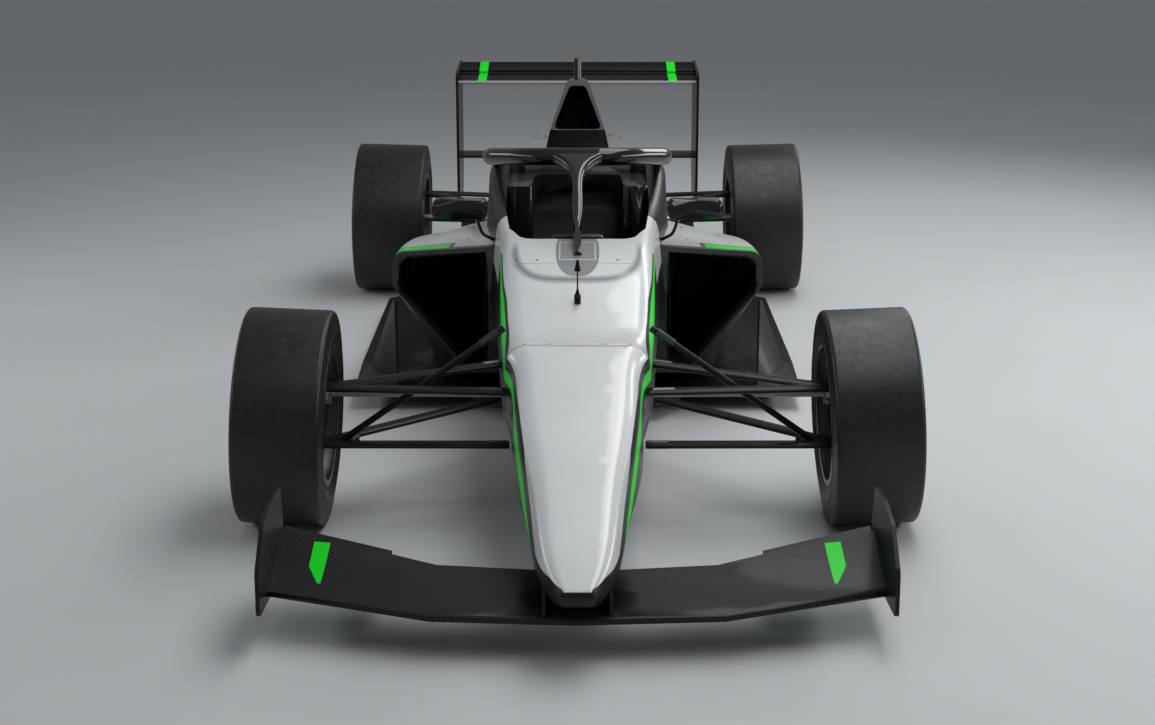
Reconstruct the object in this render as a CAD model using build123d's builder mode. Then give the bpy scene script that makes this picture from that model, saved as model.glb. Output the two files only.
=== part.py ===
"""Open wheel single seat racing car: carbon survival cell with halo, nose box and wings, sidepods,
engine cover, floor and diffuser, double wishbone suspension with pushrods, steering and four slick wheels.

Units are millimetres. +Z is up, the nose points along -Y and the car's left side is +X.
The origin is on the ground, midway along and across the car."""

import os
from math import atan2, cos, degrees, radians, sin, tan

from build123d import *

os.makedirs("parts", exist_ok=True)

# ---------------------------------------------------------------- driving dimensions
wheelbase = 2750.0
front_overhang = 1000.0
rear_overhang = 550.0
front_axle_y = -(front_overhang + wheelbase + rear_overhang) / 2 + front_overhang
rear_axle_y = front_axle_y + wheelbase

seat_gap = 0.3  # between a piece and a curved seat that carries it
moving_gap = 5.0  # between pieces that move past each other
running_fit = 0.06  # radial play of a pin or slider in its bore


def behind(distance):
    """Y of a place that lies this far behind the front axle."""
    return front_axle_y + distance


def across(distance):
    """Upright plane across the car, this far behind the front axle: local x is X, local y is Z."""
    return Plane(origin=(0, behind(distance), 0), x_dir=(1, 0, 0), z_dir=(0, -1, 0))


def lengthwise(x):
    """Upright plane along the car at this x: local x is Y from the origin, local y is Z."""
    return Plane(origin=(x, 0, 0), x_dir=(0, 1, 0), z_dir=(1, 0, 0))


def write(builder, name):
    builder.part.label = name
    export_step(builder.part, f"parts/{name}.step")


def write_pair(builder, name):
    """Writes a left hand piece and its mirror image."""
    write(builder, f"{name}_left")
    with BuildPart() as other:
        mirror(builder.part, about=Plane.YZ)
    write(other, f"{name}_right")


# ---------------------------------------------------------------- wheels: sizes of each axle
class Axle:
    """One axle's left wheel: where it stands and the sizes of tyre, rim and brake."""

    def __init__(self, **sizes):
        self.__dict__.update(sizes)
        corner_turn = atan2(self.tyre_radius - self.bulge_radius, self.section / 2 - self.tread_corner)
        tread_flat = self.tread_corner - self.shoulder * tan(corner_turn / 2)
        tilt = radians(self.camber)
        # the inner shoulder's arc is what meets the ground
        centre_z = self.shoulder + (self.tyre_radius - self.shoulder) * cos(tilt) + tread_flat * sin(tilt)
        self.centre = Vector(self.track / 2, self.y, centre_z)
        self.outboard = Vector(cos(tilt), 0, sin(tilt))
        self.spin = Axis(self.centre, self.outboard)
        # local x runs outboard along the spin axis and local y is the radius
        self.profile = Plane(origin=self.centre, x_dir=self.outboard, z_dir=(0, -1, 0))

    def face(self, offset):
        """Square to the spin axis, this far outboard of the wheel's middle; local x is Y, local y is up."""
        return Plane(origin=self.centre + self.outboard * offset, x_dir=(0, 1, 0), z_dir=self.outboard)

    def radial(self, angle):
        """Holds the spin axis and the radius at this angle above level, towards the rear."""
        reach = Vector(0, 1, 0) * cos(radians(angle)) + self.profile.y_dir * sin(radians(angle))
        return Plane(origin=self.centre, x_dir=self.outboard, z_dir=self.outboard.cross(reach))


front = Axle(
    y=front_axle_y, track=1476.0, camber=2.5, tyre_radius=275.0, section=230.0, tread_corner=107.0,
    bulge_radius=215.0, shoulder=30.0, rim_half=108.0, disc_radius=128.0,
)
rear = Axle(
    y=rear_axle_y, track=1444.0, camber=1.5, tyre_radius=282.5, section=275.0, tread_corner=130.0,
    bulge_radius=222.0, shoulder=32.0, rim_half=132.0, disc_radius=124.0,
)

bead_radius = 165.0
tyre_wall = 13.0
bead_width = 16.0
flange_radius = 177.0
flange_thickness = 6.0
well_radius = 151.0
barrel_wall = 6.0
seat_width = 20.0
hub_face = 28.0  # wheel's mounting face, outboard of its middle
hub_radius = 44.0
spigot_radius = 19.5
rim_centre_thickness = 24.0
nut_radius = 29.0
nut_length = 22.0
spoke_outer_radius = 148.0
disc_thickness = 18.0
disc_middle = 1.0
spindle_radius = 24.0
upright_outer_face = disc_middle - disc_thickness / 2 - moving_gap - 1
upright_thickness = 22.0

driveshaft_radius = 14.0
driveshaft_inner_x = 128.0  # where the shaft ends, inside the gearbox's output
output_cup_radius = 36.0

for corner, axle in (("front", front), ("rear", rear)):
    half = axle.section / 2
    bead_half = axle.rim_half - flange_thickness - seat_gap
    with BuildPart() as tyre:
        with BuildSketch(axle.profile):
            with BuildLine():
                outline = FilletPolyline(
                    (bead_half, bead_radius + seat_gap),
                    (bead_half, flange_radius + 2),
                    (half, axle.bulge_radius),
                    (axle.tread_corner, axle.tyre_radius),
                    (-axle.tread_corner, axle.tyre_radius),
                    (-half, axle.bulge_radius),
                    (-bead_half, flange_radius + 2),
                    (-bead_half, bead_radius + seat_gap),
                    radius=[8, 34, axle.shoulder, axle.shoulder, 34, 8],
                )
                Line(outline @ 1, outline @ 0)
            make_face()
            with BuildLine():
                hollow = FilletPolyline(
                    (bead_half - bead_width, bead_radius - 1),
                    (bead_half - bead_width, flange_radius + 2),
                    (half - tyre_wall, axle.bulge_radius),
                    (axle.tread_corner - tyre_wall, axle.tyre_radius - tyre_wall),
                    (-axle.tread_corner + tyre_wall, axle.tyre_radius - tyre_wall),
                    (-half + tyre_wall, axle.bulge_radius),
                    (-bead_half + bead_width, flange_radius + 2),
                    (-bead_half + bead_width, bead_radius - 1),
                    radius=[4, 24, 20, 20, 24, 4],
                )
                Line(hollow @ 1, hollow @ 0)
            make_face(mode=Mode.SUBTRACT)
        revolve(axis=axle.spin)
    write_pair(tyre, f"tyre_{corner}")

    rim_half = axle.rim_half
    seat_start = rim_half - flange_thickness
    seat_end = seat_start - seat_width
    well_end = seat_end - (bead_radius - well_radius)
    barrel = [
        (seat_start, flange_radius), (seat_start, bead_radius), (seat_end, bead_radius), (well_end, well_radius),
    ]
    barrel += [(-u, v) for u, v in reversed(barrel)]
    inside = [
        (-rim_half, flange_radius), (-rim_half, bead_radius - barrel_wall),
        (-seat_end, bead_radius - barrel_wall), (-well_end, well_radius - barrel_wall),
    ]
    inside += [(-u, v) for u, v in reversed(inside)]
    spoke_end = well_end + 2.0
    with BuildPart() as rim:
        with BuildSketch(axle.profile):
            with BuildLine():
                Polyline(*barrel, *inside, close=True)
            make_face()
            with BuildLine():
                Polyline(
                    (hub_face, spigot_radius + 0.5),
                    (hub_face + rim_centre_thickness, spigot_radius + 0.5),
                    (hub_face + rim_centre_thickness, hub_radius + 6),
                    (spoke_end + 2, 118),
                    (spoke_end, spoke_outer_radius),
                    (spoke_end - 14, spoke_outer_radius),
                    (spoke_end - 16, 112),
                    (hub_face, hub_radius + 10),
                    close=True,
                )
            make_face()
        revolve(axis=axle.spin)
        with BuildSketch(axle.face(0)):
            with PolarLocations(0, 5):
                # wide window between two pairs of spokes
                with BuildLine():
                    FilletPolyline((56, -14), (134, -46), (141, 0), (134, 46), (56, 14), close=True, radius=8)
                make_face()
            with PolarLocations(0, 5, start_angle=36):
                # narrow window inside a pair
                with BuildLine():
                    FilletPolyline((68, -5), (138, -17), (138, 17), (68, 5), close=True, radius=4.5)
                make_face()
        extrude(amount=rim_half, mode=Mode.SUBTRACT)
    write_pair(rim, f"rim_{corner}")

    nut_end = hub_face + rim_centre_thickness + nut_length
    disc_out = disc_middle + disc_thickness / 2
    disc_in = disc_middle - disc_thickness / 2
    profile = [
        (nut_end, 0), (nut_end, nut_radius - 3), (nut_end - 3, nut_radius), (nut_end - nut_length, nut_radius),
        (nut_end - nut_length, spigot_radius), (hub_face, spigot_radius), (hub_face, hub_radius),
        (hub_face - 10, hub_radius), (disc_out - 2, 86), (disc_out, 86), (disc_out, axle.disc_radius),
        (disc_in, axle.disc_radius), (disc_in, 80), (hub_face - 22, hub_radius - 6),
        (disc_in, spindle_radius + 8), (disc_in, spindle_radius), (-64, spindle_radius),
    ]
    if axle is rear:
        shaft_end = -(axle.track / 2 - driveshaft_inner_x) / cos(radians(axle.camber))
        joint_radius = output_cup_radius - 8
        profile += [
            (-64, 31), (-104, 31), (-116, driveshaft_radius), (shaft_end + 62, driveshaft_radius),
            (shaft_end + 50, joint_radius), (shaft_end, joint_radius), (shaft_end, 0),
        ]
    else:
        profile += [(-64, 0)]
    with BuildPart() as brake:
        with BuildSketch(axle.profile):
            with BuildLine():
                Polyline(*profile, close=True)
            make_face()
        revolve(axis=axle.spin)
        with BuildSketch(axle.face(disc_middle)):
            with PolarLocations(107, 24):
                Circle(3.5)
        extrude(amount=disc_thickness, both=True, mode=Mode.SUBTRACT)
    write_pair(brake, f"brake_hub_{corner}")


# ---------------------------------------------------------------- suspension: points and small shapes
def point(x, distance, z):
    return Vector(x, behind(distance), z)


def along(start, end):
    """Plane at start, square to the line to end, with its x axis level."""
    direction = (end - start).normalized()
    level = Vector(0, 0, 1).cross(direction).normalized()
    return Plane(origin=start, x_dir=level, z_dir=direction)


steer_limit = 16.0
eye_radius = 17.0
eye_height = 20.0
pin_radius = 8.0
ear_radius = 15.0
ear_thickness = 8.0
ear_gap = 1.5
leg_chord = 46.0
leg_thickness = 17.0
push_chord = 22.0
push_thickness = 17.0

steering_arm = 90.0  # from the kingpin to the track rod's stud
track_rod_z = 314.0
stud_x = 652.0
track_rod_radius = 9.0
rack_radius = 16.0
rack_half = 148.0
stud_radius = 6.0
stud_play = 5.0  # room for the stud's wander inside the track rod's eye
rod_eye_wall = 7.0
rod_eye_height = 14.0


class Corner:
    """Ball joints and pickups of one left corner, each (x, distance behind the front axle, z)."""

    def __init__(self, lower, upper, lower_legs, upper_legs, push_low, push_high):
        self.lower = point(*lower)
        self.upper = point(*upper)
        self.kingpin = (self.upper - self.lower).normalized()
        self.lower_legs = [point(*leg) for leg in lower_legs]
        self.upper_legs = [point(*leg) for leg in upper_legs]
        self.push_low = point(*push_low)
        self.push_high = point(*push_high)

    def at_height(self, z):
        """Point of the kingpin at this height."""
        return self.lower + self.kingpin * ((z - self.lower.Z) / self.kingpin.Z)


front_links = Corner(
    lower=(678.0, -8.0, 205.0),
    upper=(662.0, 4.0, 352.0),
    lower_legs=((175.0, 12.0, 198.0), (205.0, 452.0, 200.0)),
    upper_legs=((170.0, -42.0, 354.0), (172.0, 134.0, 384.0)),
    push_low=(600.0, 12.0, 213.0),
    push_high=(186.0, 40.0, 500.0),
)
rear_links = Corner(
    lower=(640.0, wheelbase, 190.0),
    upper=(630.0, wheelbase + 4, 382.0),
    lower_legs=((80.0, wheelbase - 270, 182.0), (70.0, wheelbase + 150, 182.0)),
    upper_legs=((80.0, wheelbase - 240, 338.0), (60.0, wheelbase + 120, 340.0)),
    push_low=(560.0, wheelbase - 40, 200.0),
    push_high=(80.0, wheelbase - 130, 372.0),
)
toe_link_outer = point(645.0, wheelbase + 100, 262.0)
toe_link_inner = point(60.0, wheelbase + 190, 246.0)
stud_y = front_links.at_height(track_rod_z).Y + steering_arm
rack_y = stud_y - steering_arm * (1 - cos(radians(steer_limit)))

# ---------------------------------------------------------------- uprights and calipers
uprights = {}
for corner, axle, links in (("front", front, front_links), ("rear", rear, rear_links)):
    plate_in = upright_outer_face - upright_thickness
    with BuildPart() as upright:
        with BuildSketch(axle.face(plate_in)):
            Circle(46)
            top = (links.upper - axle.centre).dot(axle.profile.y_dir) + 20
            bottom = (links.lower - axle.centre).dot(axle.profile.y_dir) - 20
            with BuildLine():
                FilletPolyline(
                    (-17, top), (17, top), (40, 20), (40, -20), (17, bottom), (-17, bottom), (-40, -20),
                    (-40, 20), close=True, radius=[5, 5, 20, 20, 5, 5, 20, 20],
                )
            make_face()
        extrude(amount=upright_thickness)
        for ball in (links.lower, links.upper):
            for sign in (1, -1):
                start = eye_height / 2 + ear_gap
                base = ball + links.kingpin * (sign * (start + ear_thickness / 2))
                reach = (axle.centre.X - abs(plate_in)) - base.X + 8
                ear = Plane(origin=base, x_dir=(0, 1, 0), z_dir=links.kingpin)
                with BuildSketch(ear):
                    Circle(ear_radius)
                    with Locations((0, -reach / 2)):
                        Rectangle(2 * ear_radius, reach)
                extrude(amount=ear_thickness / 2, both=True)
            with BuildSketch(Plane(origin=ball, z_dir=links.kingpin)):
                Circle(pin_radius)
            extrude(amount=eye_height / 2 + ear_gap + ear_thickness, both=True)
        # caliper over the disc's edge, ahead of a steered hub and behind a fixed one
        caliper_turn, caliper_side = (152, -1) if axle is front else (-28, 1)
        pad_in = disc_middle - disc_thickness / 2 - moving_gap
        pad_out = disc_middle + disc_thickness / 2 + moving_gap
        reach_out = axle.disc_radius + moving_gap
        with BuildSketch(axle.radial(caliper_turn)):
            with BuildLine():
                Polyline(
                    (upright_outer_face - 18, 84), (upright_outer_face - 18, reach_out + 6.5),
                    (pad_out + 14, reach_out + 6.5), (pad_out + 14, 88), (pad_out, 88), (pad_out, reach_out),
                    (pad_in, reach_out), (pad_in, 84), close=True,
                )
            make_face()
        revolve(axis=axle.spin, revolution_arc=56)
        # bracket from the hub carrier to the caliper
        with BuildSketch(axle.face(upright_outer_face - 18)):
            with Locations((62 * caliper_side, 0)):
                Rectangle(66, 56)
        extrude(amount=14)
        if axle is front:
            foot = Plane(origin=(0, 0, track_rod_z - rod_eye_height / 2 - 7 - 12), x_dir=(1, 0, 0), z_dir=(0, 0, 1))
            with BuildSketch(foot):
                with Locations((stud_x, stud_y)):
                    Circle(13)
                with BuildLine():
                    Polyline(
                        (stud_x - 13, stud_y), (stud_x + 13, stud_y), (axle.centre.X - 17, axle.y + 40),
                        (axle.centre.X - 34, axle.y + 10), close=True,
                    )
                make_face()
            extrude(amount=12)
            with BuildSketch(foot):
                with Locations((stud_x, stud_y)):
                    Circle(stud_radius)
            extrude(amount=track_rod_z + rod_eye_height / 2 + 6 - foot.origin.Z)
        else:
            toe = Plane(origin=toe_link_outer, x_dir=(0, 1, 0), z_dir=axle.outboard)
            with BuildSketch(toe):
                Circle(13)
                with Locations((-30, 0)):
                    Rectangle(60, 26)
            extrude(amount=60)
        with BuildSketch(axle.face(plate_in - 60)):
            Circle(spindle_radius + running_fit)
        extrude(amount=120, mode=Mode.SUBTRACT)
    write_pair(upright, f"upright_{corner}")
    uprights[corner] = upright


# ---------------------------------------------------------------- survival cell and nose
def hull(distance, floor_half, waist_half, roof_half, z_floor, z_waist, z_roof, r_floor, r_waist, r_roof):
    """Closed section across the car: flat floor, sloping flanks with a waist, flat roof."""
    with BuildSketch(across(distance)) as section:
        with BuildLine():
            FilletPolyline(
                (roof_half, z_roof), (waist_half, z_waist), (floor_half, z_floor),
                (-floor_half, z_floor), (-waist_half, z_waist), (-roof_half, z_roof),
                close=True, radius=[r_roof, r_waist, r_floor, r_floor, r_waist, r_roof],
            )
        make_face()
    return section.sketch


cell_front = -50.0
cell_back = 1560.0
cell_wall = 22.0
floor_top = 62.0

# distance, floor half, waist half, roof half, z floor, z waist, z roof, radii of floor, waist and roof
nose_sections = (
    (-1000, 24, 40, 28, 158, 172, 190, 8, 12, 10),
    (-950, 46, 70, 54, 142, 178, 218, 12, 22, 20),
    (-840, 68, 98, 78, 130, 200, 264, 20, 34, 30),
    (-600, 94, 128, 108, 132, 236, 338, 28, 48, 44),
    (-300, 122, 160, 144, 134, 280, 418, 32, 56, 52),
    (cell_front, 142, 190, 178, 134, 310, 478, 34, 60, 56),
)
cell_sections = (
    (cell_front, 142, 190, 178, 134, 310, 478, 34, 60, 56),
    (300, 158, 212, 202, 112, 350, 560, 40, 70, 56),
    (620, 180, 234, 214, 84, 370, 622, 40, 70, 54),
    (900, 205, 262, 234, floor_top, 390, 634, 40, 70, 48),
    (1120, 214, 284, 258, floor_top, 400, 662, 40, 70, 42),
    (cell_back, 214, 288, 262, floor_top, 400, 684, 40, 70, 40),
)
hollow_sections = (
    (130, 118, 172, 130, 158, 304, 492, 24, 46, 40),
    (300, 132, 184, 146, 136, 330, 532, 26, 50, 40),
    (620, 154, 208, 168, 108, 350, 594, 26, 50, 40),
    (900, 180, 236, 198, 86, 380, 608, 26, 50, 36),
    (1120, 190, 262, 230, 86, 400, 636, 26, 50, 32),
    (1440, 190, 265, 238, 86, 400, 654, 26, 50, 32),
)

with BuildPart() as cell_outside:
    loft(sections=[hull(*row) for row in cell_sections])
with BuildPart() as cell_hollow:
    loft(sections=[hull(*row) for row in hollow_sections])
with BuildPart() as cell:
    add(cell_outside.part)
    add(cell_hollow.part, mode=Mode.SUBTRACT)
    # cockpit opening
    with BuildSketch(Plane.XY.offset(480)):
        with BuildLine():
            FilletPolyline(
                (158, behind(600)), (196, behind(740)), (216, behind(1000)), (216, behind(1440)),
                (-216, behind(1440)), (-216, behind(1000)), (-196, behind(740)), (-158, behind(600)),
                close=True, radius=48,
            )
        make_face()
    extrude(amount=260, mode=Mode.SUBTRACT)
    # tunnel that carries the steering rack
    with BuildSketch(Plane(origin=(0, rack_y, track_rod_z), x_dir=(0, 1, 0), z_dir=(1, 0, 0))):
        Circle(rack_radius + running_fit)
    extrude(amount=400, both=True, mode=Mode.SUBTRACT)
write(cell, "survival_cell")

pylon_half = 76.0
with BuildPart() as nose:
    loft(sections=[hull(*row) for row in nose_sections])
    with BuildSketch(lengthwise(pylon_half - 8)):
        with BuildLine():
            FilletPolyline(
                (behind(-912), 90), (behind(-770), 104), (behind(-690), 250), (behind(-880), 190),
                close=True, radius=6,
            )
        make_face()
    extrude(amount=8)
    with BuildSketch(lengthwise(-pylon_half)):
        with BuildLine():
            FilletPolyline(
                (behind(-912), 90), (behind(-770), 104), (behind(-690), 250), (behind(-880), 190),
                close=True, radius=6,
            )
        make_face()
    extrude(amount=8)


# ---------------------------------------------------------------- wings
def blade(x, y_lead, z_lead, chord, rise, thickness, dihedral=0.0):
    """Wing section standing along the car at this x: leading edge point, chord, rise of its tail, thickness."""
    section_plane = Plane(origin=(x, y_lead, z_lead), x_dir=(0, 1, 0), z_dir=(1, 0, dihedral))
    with BuildSketch(section_plane) as section:
        with BuildLine():
            lead = thickness / 2
            low = ThreePointArc((lead * 0.6, -lead * 0.8), (chord * 0.45, rise * 0.22 - lead), (chord, rise - 1.2))
            Line(low @ 1, (chord, rise + 1.2))
            high = ThreePointArc((chord, rise + 1.2), (chord * 0.45, rise * 0.22 + lead), (lead * 0.6, lead * 0.8))
            ThreePointArc(high @ 1, (0, 0), low @ 0)
        make_face()
    return section.sketch


wing_tip = 676.0
# x, distance of the leading edge, z of it, chord, rise of the tail, thickness
main_plane = (
    (0, -925, 92, 222, 30, 22),
    (316, -905, 92, 240, 32, 20),
    (440, -868, 97, 240, 44, 18),
    (wing_tip, -802, 108, 210, 72, 16),
)
flap = (
    (425, -648, 98, 80, 24, 8),
    (wing_tip, -612, 140, 92, 26, 8),
)
with BuildPart() as front_wing:
    for table in (main_plane, flap):
        rows = [(x, behind(d), *rest) for x, d, *rest in table]
        loft(sections=[blade(*row) for row in rows], ruled=True)
    # brackets that carry the flaps
    for x, lift in ((470, 0), (600, 18)):
        with BuildSketch(lengthwise(x)):
            with BuildLine():
                Polyline(
                    (behind(-695), 108 + lift), (behind(-655), 128 + lift), (behind(-595), 124 + lift),
                    (behind(-588), 112 + lift), close=True,
                )
            make_face()
        extrude(amount=4, both=True)
    mirror(about=Plane.YZ)
    add(nose.part, mode=Mode.SUBTRACT)
write(nose, "nose_box")
write(front_wing, "front_wing")

with BuildPart() as front_endplate:
    with BuildSketch(lengthwise(wing_tip)):
        with BuildLine():
            FilletPolyline(
                (behind(-905), 96), (behind(-560), 76), (behind(-545), 205), (behind(-574), 282),
                (behind(-700), 287), (behind(-812), 272), (behind(-902), 196),
                close=True, radius=[12, 12, 20, 12, 40, 30, 30],
            )
        make_face()
    extrude(amount=9)
write_pair(front_endplate, "front_wing_endplate")

wing_half = 474.0
with BuildPart() as rear_wing:
    for d, z, chord, rise, thickness in ((3010, 780, 165, 20, 20), (3158, 808, 100, 26, 12)):
        rows = [(x, behind(d), z, chord, rise, thickness) for x in (-wing_half, wing_half)]
        loft(sections=[blade(*row) for row in rows], ruled=True)
write(rear_wing, "rear_wing")

with BuildPart() as rear_endplate:
    with BuildSketch(lengthwise(wing_half)):
        with BuildLine():
            FilletPolyline(
                (behind(3000), 312), (behind(3256), 300), (behind(3300), 420), (behind(3300), 840),
                (behind(2992), 816), (behind(2992), 560),
                close=True, radius=[24, 24, 40, 14, 14, 50],
            )
        make_face()
    extrude(amount=10)
write_pair(rear_endplate, "rear_wing_endplate")

with BuildPart() as beam_wing:
    rows = [(x, behind(3060), 474, 110, 8, 14) for x in (-wing_half, wing_half)]
    loft(sections=[blade(*row) for row in rows], ruled=True)
    for x in (-26, 18):
        with BuildSketch(lengthwise(x)):
            with BuildLine():
                FilletPolyline(
                    (behind(2990), 372), (behind(3200), 372), (behind(3160), 478), (behind(3075), 476),
                    close=True, radius=8,
                )
            make_face()
        extrude(amount=8)
write(beam_wing, "beam_wing")

# ---------------------------------------------------------------- gearbox, engine, exhaust
box_front = 2120.0
tow_eye_radius = 9.0
tow_boss_wall = 9.0
tow_boss_low = 236.0
tow_boss_high = 376.0
gear_sections = (
    (box_front, 150, 165, 120, 78, 240, 352, 20, 30, 30),
    (2450, 112, 128, 92, 78, 240, 352, 20, 30, 30),
    (2700, 96, 110, 78, 84, 240, 350, 20, 30, 30),
    (2950, 78, 92, 64, 120, 250, 352, 18, 24, 24),
)
with BuildPart() as gearbox:
    loft(sections=[hull(*row) for row in gear_sections])
    for sign in (1, -1):
        with BuildSketch(Plane(origin=(sign * 60, rear_axle_y, 271), x_dir=(0, 1, 0), z_dir=(sign, 0, 0))):
            Circle(output_cup_radius + 14)
        extrude(amount=76)
    # crash structure behind the box
    loft(sections=[
        hull(2950, 60, 70, 50, 190, 290, 372, 14, 20, 16),
        hull(3230, 44, 50, 44, 250, 310, 372, 10, 14, 8),
    ])
    # towing boss down through the end of the crash structure
    tow_eye = Plane(origin=(0, behind(3205), tow_boss_low))
    with BuildSketch(tow_eye):
        Circle(tow_eye_radius + tow_boss_wall)
    extrude(amount=tow_boss_high - tow_boss_low)
    with BuildSketch(tow_eye):
        Circle(tow_eye_radius)
    extrude(amount=tow_boss_high - tow_boss_low, mode=Mode.SUBTRACT)
    add(beam_wing.part, mode=Mode.SUBTRACT)
    for side in (1, -1):
        direction = Vector(side * rear.outboard.X, 0, rear.outboard.Z)
        mouth = Plane(
            origin=Vector(side * 102, rear_axle_y, rear.centre.Z - (rear.centre.X - 102) * tan(radians(rear.camber))),
            x_dir=(0, 1, 0), z_dir=direction,
        )
        with BuildSketch(mouth):
            Circle(output_cup_radius - 8 + running_fit)
        extrude(amount=60, mode=Mode.SUBTRACT)
write(gearbox, "gearbox")

with BuildPart() as engine:
    with BuildSketch(Plane(origin=(0, 0, 78), x_dir=(1, 0, 0), z_dir=(0, 0, 1))):
        with BuildLine():
            FilletPolyline(
                (128, behind(cell_back)), (128, behind(box_front)), (-128, behind(box_front)),
                (-128, behind(cell_back)), close=True, radius=20,
            )
        make_face()
    extrude(amount=318)
write(engine, "engine")

with BuildPart() as exhaust:
    run = [(-32, behind(1950), 427.3), (-32, behind(2300), 427.3), (-34, behind(2500), 394), (-36, behind(2780), 406)]
    with BuildLine() as exhaust_run:
        FilletPolyline(*run, radius=90)
    start = Plane(origin=exhaust_run.line @ 0, z_dir=exhaust_run.line % 0)
    with BuildSketch(start):
        Circle(31)
        Circle(28, mode=Mode.SUBTRACT)
    sweep(path=exhaust_run.line)
write(exhaust, "exhaust")

# ---------------------------------------------------------------- sidepods, engine cover, floor
cover_sections = (
    (cell_back, 214, 288, 262, floor_top, 400, 684, 40, 70, 40),
    (1900, 190, 236, 120, floor_top, 330, 600, 40, 60, 50),
    (2440, 150, 178, 64, floor_top, 250, 478, 30, 50, 30),
)
cover_hollow = (
    (cell_back, 200, 274, 248, floor_top - 20, 400, 670, 36, 60, 30),
    (1900, 176, 222, 110, floor_top - 20, 330, 586, 36, 50, 40),
    (2440, 140, 167, 54, floor_top - 20, 250, 466, 26, 44, 26),
)
airbox_front = 1650.0
airbox_sections = (
    (airbox_front, 122, 92, 34, 640, 776, 944, 10, 40, 30),
    (1900, 96, 78, 28, 560, 735, 906, 10, 50, 24),
    (2250, 50, 40, 15, 440, 600, 730, 8, 24, 12),
    (2440, 26, 22, 10, 420, 520, 612, 6, 10, 6),
)
inlet_sections = (
    (airbox_front - 5, 74, 76, 26, 784, 798, 928, 12, 16, 20),
    (1880, 52, 54, 20, 715, 755, 862, 10, 20, 14),
)
with BuildPart() as cover_outside:
    loft(sections=[hull(*row) for row in cover_sections])
with BuildPart() as cover:
    add(cover_outside.part)
    loft(sections=[hull(*row) for row in airbox_sections])
    loft(sections=[hull(*row) for row in cover_hollow], mode=Mode.SUBTRACT)
    loft(sections=[hull(*row) for row in inlet_sections], mode=Mode.SUBTRACT)
    # camera mast on the spine
    with BuildSketch(Plane.XY.offset(860)):
        with BuildLine():
            FilletPolyline(
                (-12, behind(1800)), (12, behind(1800)), (9, behind(1980)), (-9, behind(1980)),
                close=True, radius=[11, 11, 5, 5],
            )
        make_face()
    extrude(amount=138)
write(cover, "engine_cover")

pod_front = 905.0


def pod_section(distance, inner, floor_out, waist_out, roof_out, z_floor, z_waist, z_shoulder, z_roof, lean):
    """Left sidepod section: undercut flank, rounded shoulder, roof falling from the cell."""
    with BuildSketch(across(distance)) as section:
        with BuildLine():
            FilletPolyline(
                (inner, z_floor), (floor_out, z_floor), (waist_out, z_waist), (roof_out, z_shoulder),
                (inner - lean, z_roof), close=True, radius=[2, 30, 50, 36, 2],
            )
        make_face()
    return section.sketch


# distance, inner x, outer x at the floor, waist and shoulder, z of floor, waist, shoulder and roof at
# the cell, lean of the inner wall
pod_sections = (
    (pod_front, 222, 330, 556, 548, 150, 420, 520, 542, 50),
    (1120, 222, 400, 572, 540, 92, 380, 505, 548, 50),
    (cell_back, 226, 470, 560, 500, floor_top, 300, 440, 526, 50),
)
pod_tail = (
    (cell_back, 226, 470, 560, 500, floor_top, 300, 440, 526, 50),
    (1960, 198, 380, 436, 386, floor_top, 230, 340, 430, 60),
    (2330, 170, 222, 236, 212, floor_top, 170, 250, 300, 50),
)
duct_sections = (
    (pod_front - 5, 272, 330, 536, 530, 172, 412, 502, 522, 0),
    (1250, 300, 400, 536, 512, 140, 350, 462, 490, 0),
)
with BuildPart() as sidepod:
    loft(sections=[pod_section(*row) for row in pod_sections])
    loft(sections=[pod_section(*row) for row in pod_tail])
    loft(sections=[pod_section(*row) for row in duct_sections], mode=Mode.SUBTRACT, ruled=True)
    add(cell_outside.part, mode=Mode.SUBTRACT)
    add(cover_outside.part, mode=Mode.SUBTRACT)
write_pair(sidepod, "sidepod")

floor_bottom = 46.0
with BuildPart() as floor:
    outline = (
        (0, 860), (250, 880), (330, 1000), (690, 1000), (700, 1367), (700, 2300), (560, 2420), (560, 2700),
        (480, 2860), (0, 2860),
    )
    with BuildSketch(Plane.XY.offset(floor_bottom)):
        with BuildLine():
            Polyline(*[(x, behind(d)) for x, d in outline], close=True)
        make_face()
    extrude(amount=floor_top - floor_bottom)
    # diffuser ramp behind the floor
    with BuildSketch(lengthwise(0)):
        with BuildLine():
            Polyline(
                (behind(2850), floor_bottom), (behind(3170), 176), (behind(3170), 186),
                (behind(2850), floor_top), close=True,
            )
        make_face()
    extrude(amount=480)
    for x in (110, 290, 472):
        with BuildSketch(lengthwise(x)):
            with BuildLine():
                Polyline(
                    (behind(2700), floor_bottom), (behind(2850), floor_bottom), (behind(3170), 70),
                    (behind(3170), 180), (behind(2850), floor_top), (behind(2700), floor_top), close=True,
                )
            make_face()
        extrude(amount=8)
    # skid plank
    with BuildSketch(Plane.XY.offset(floor_bottom - 10)):
        with Locations((75, behind(1850))):
            Rectangle(150, 1900)
    extrude(amount=12)
    # turning vane ahead of the sidepod
    with BuildSketch(Plane(origin=(560, behind(1080), 0), x_dir=(0.36, 0.93, 0), z_dir=(0.93, -0.36, 0))):
        with BuildLine():
            Polyline((0, floor_top - 6), (300, floor_top - 6), (20, 330), (0, 330), close=True)
        make_face()
    extrude(amount=3, both=True)
    mirror(about=Plane.YZ)
    add(cell.part, mode=Mode.SUBTRACT)
    add(sidepod.part, mode=Mode.SUBTRACT)
    mirrored_pod = mirror(sidepod.part, about=Plane.YZ, mode=Mode.PRIVATE)
    add(mirrored_pod, mode=Mode.SUBTRACT)
write(floor, "floor")

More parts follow.
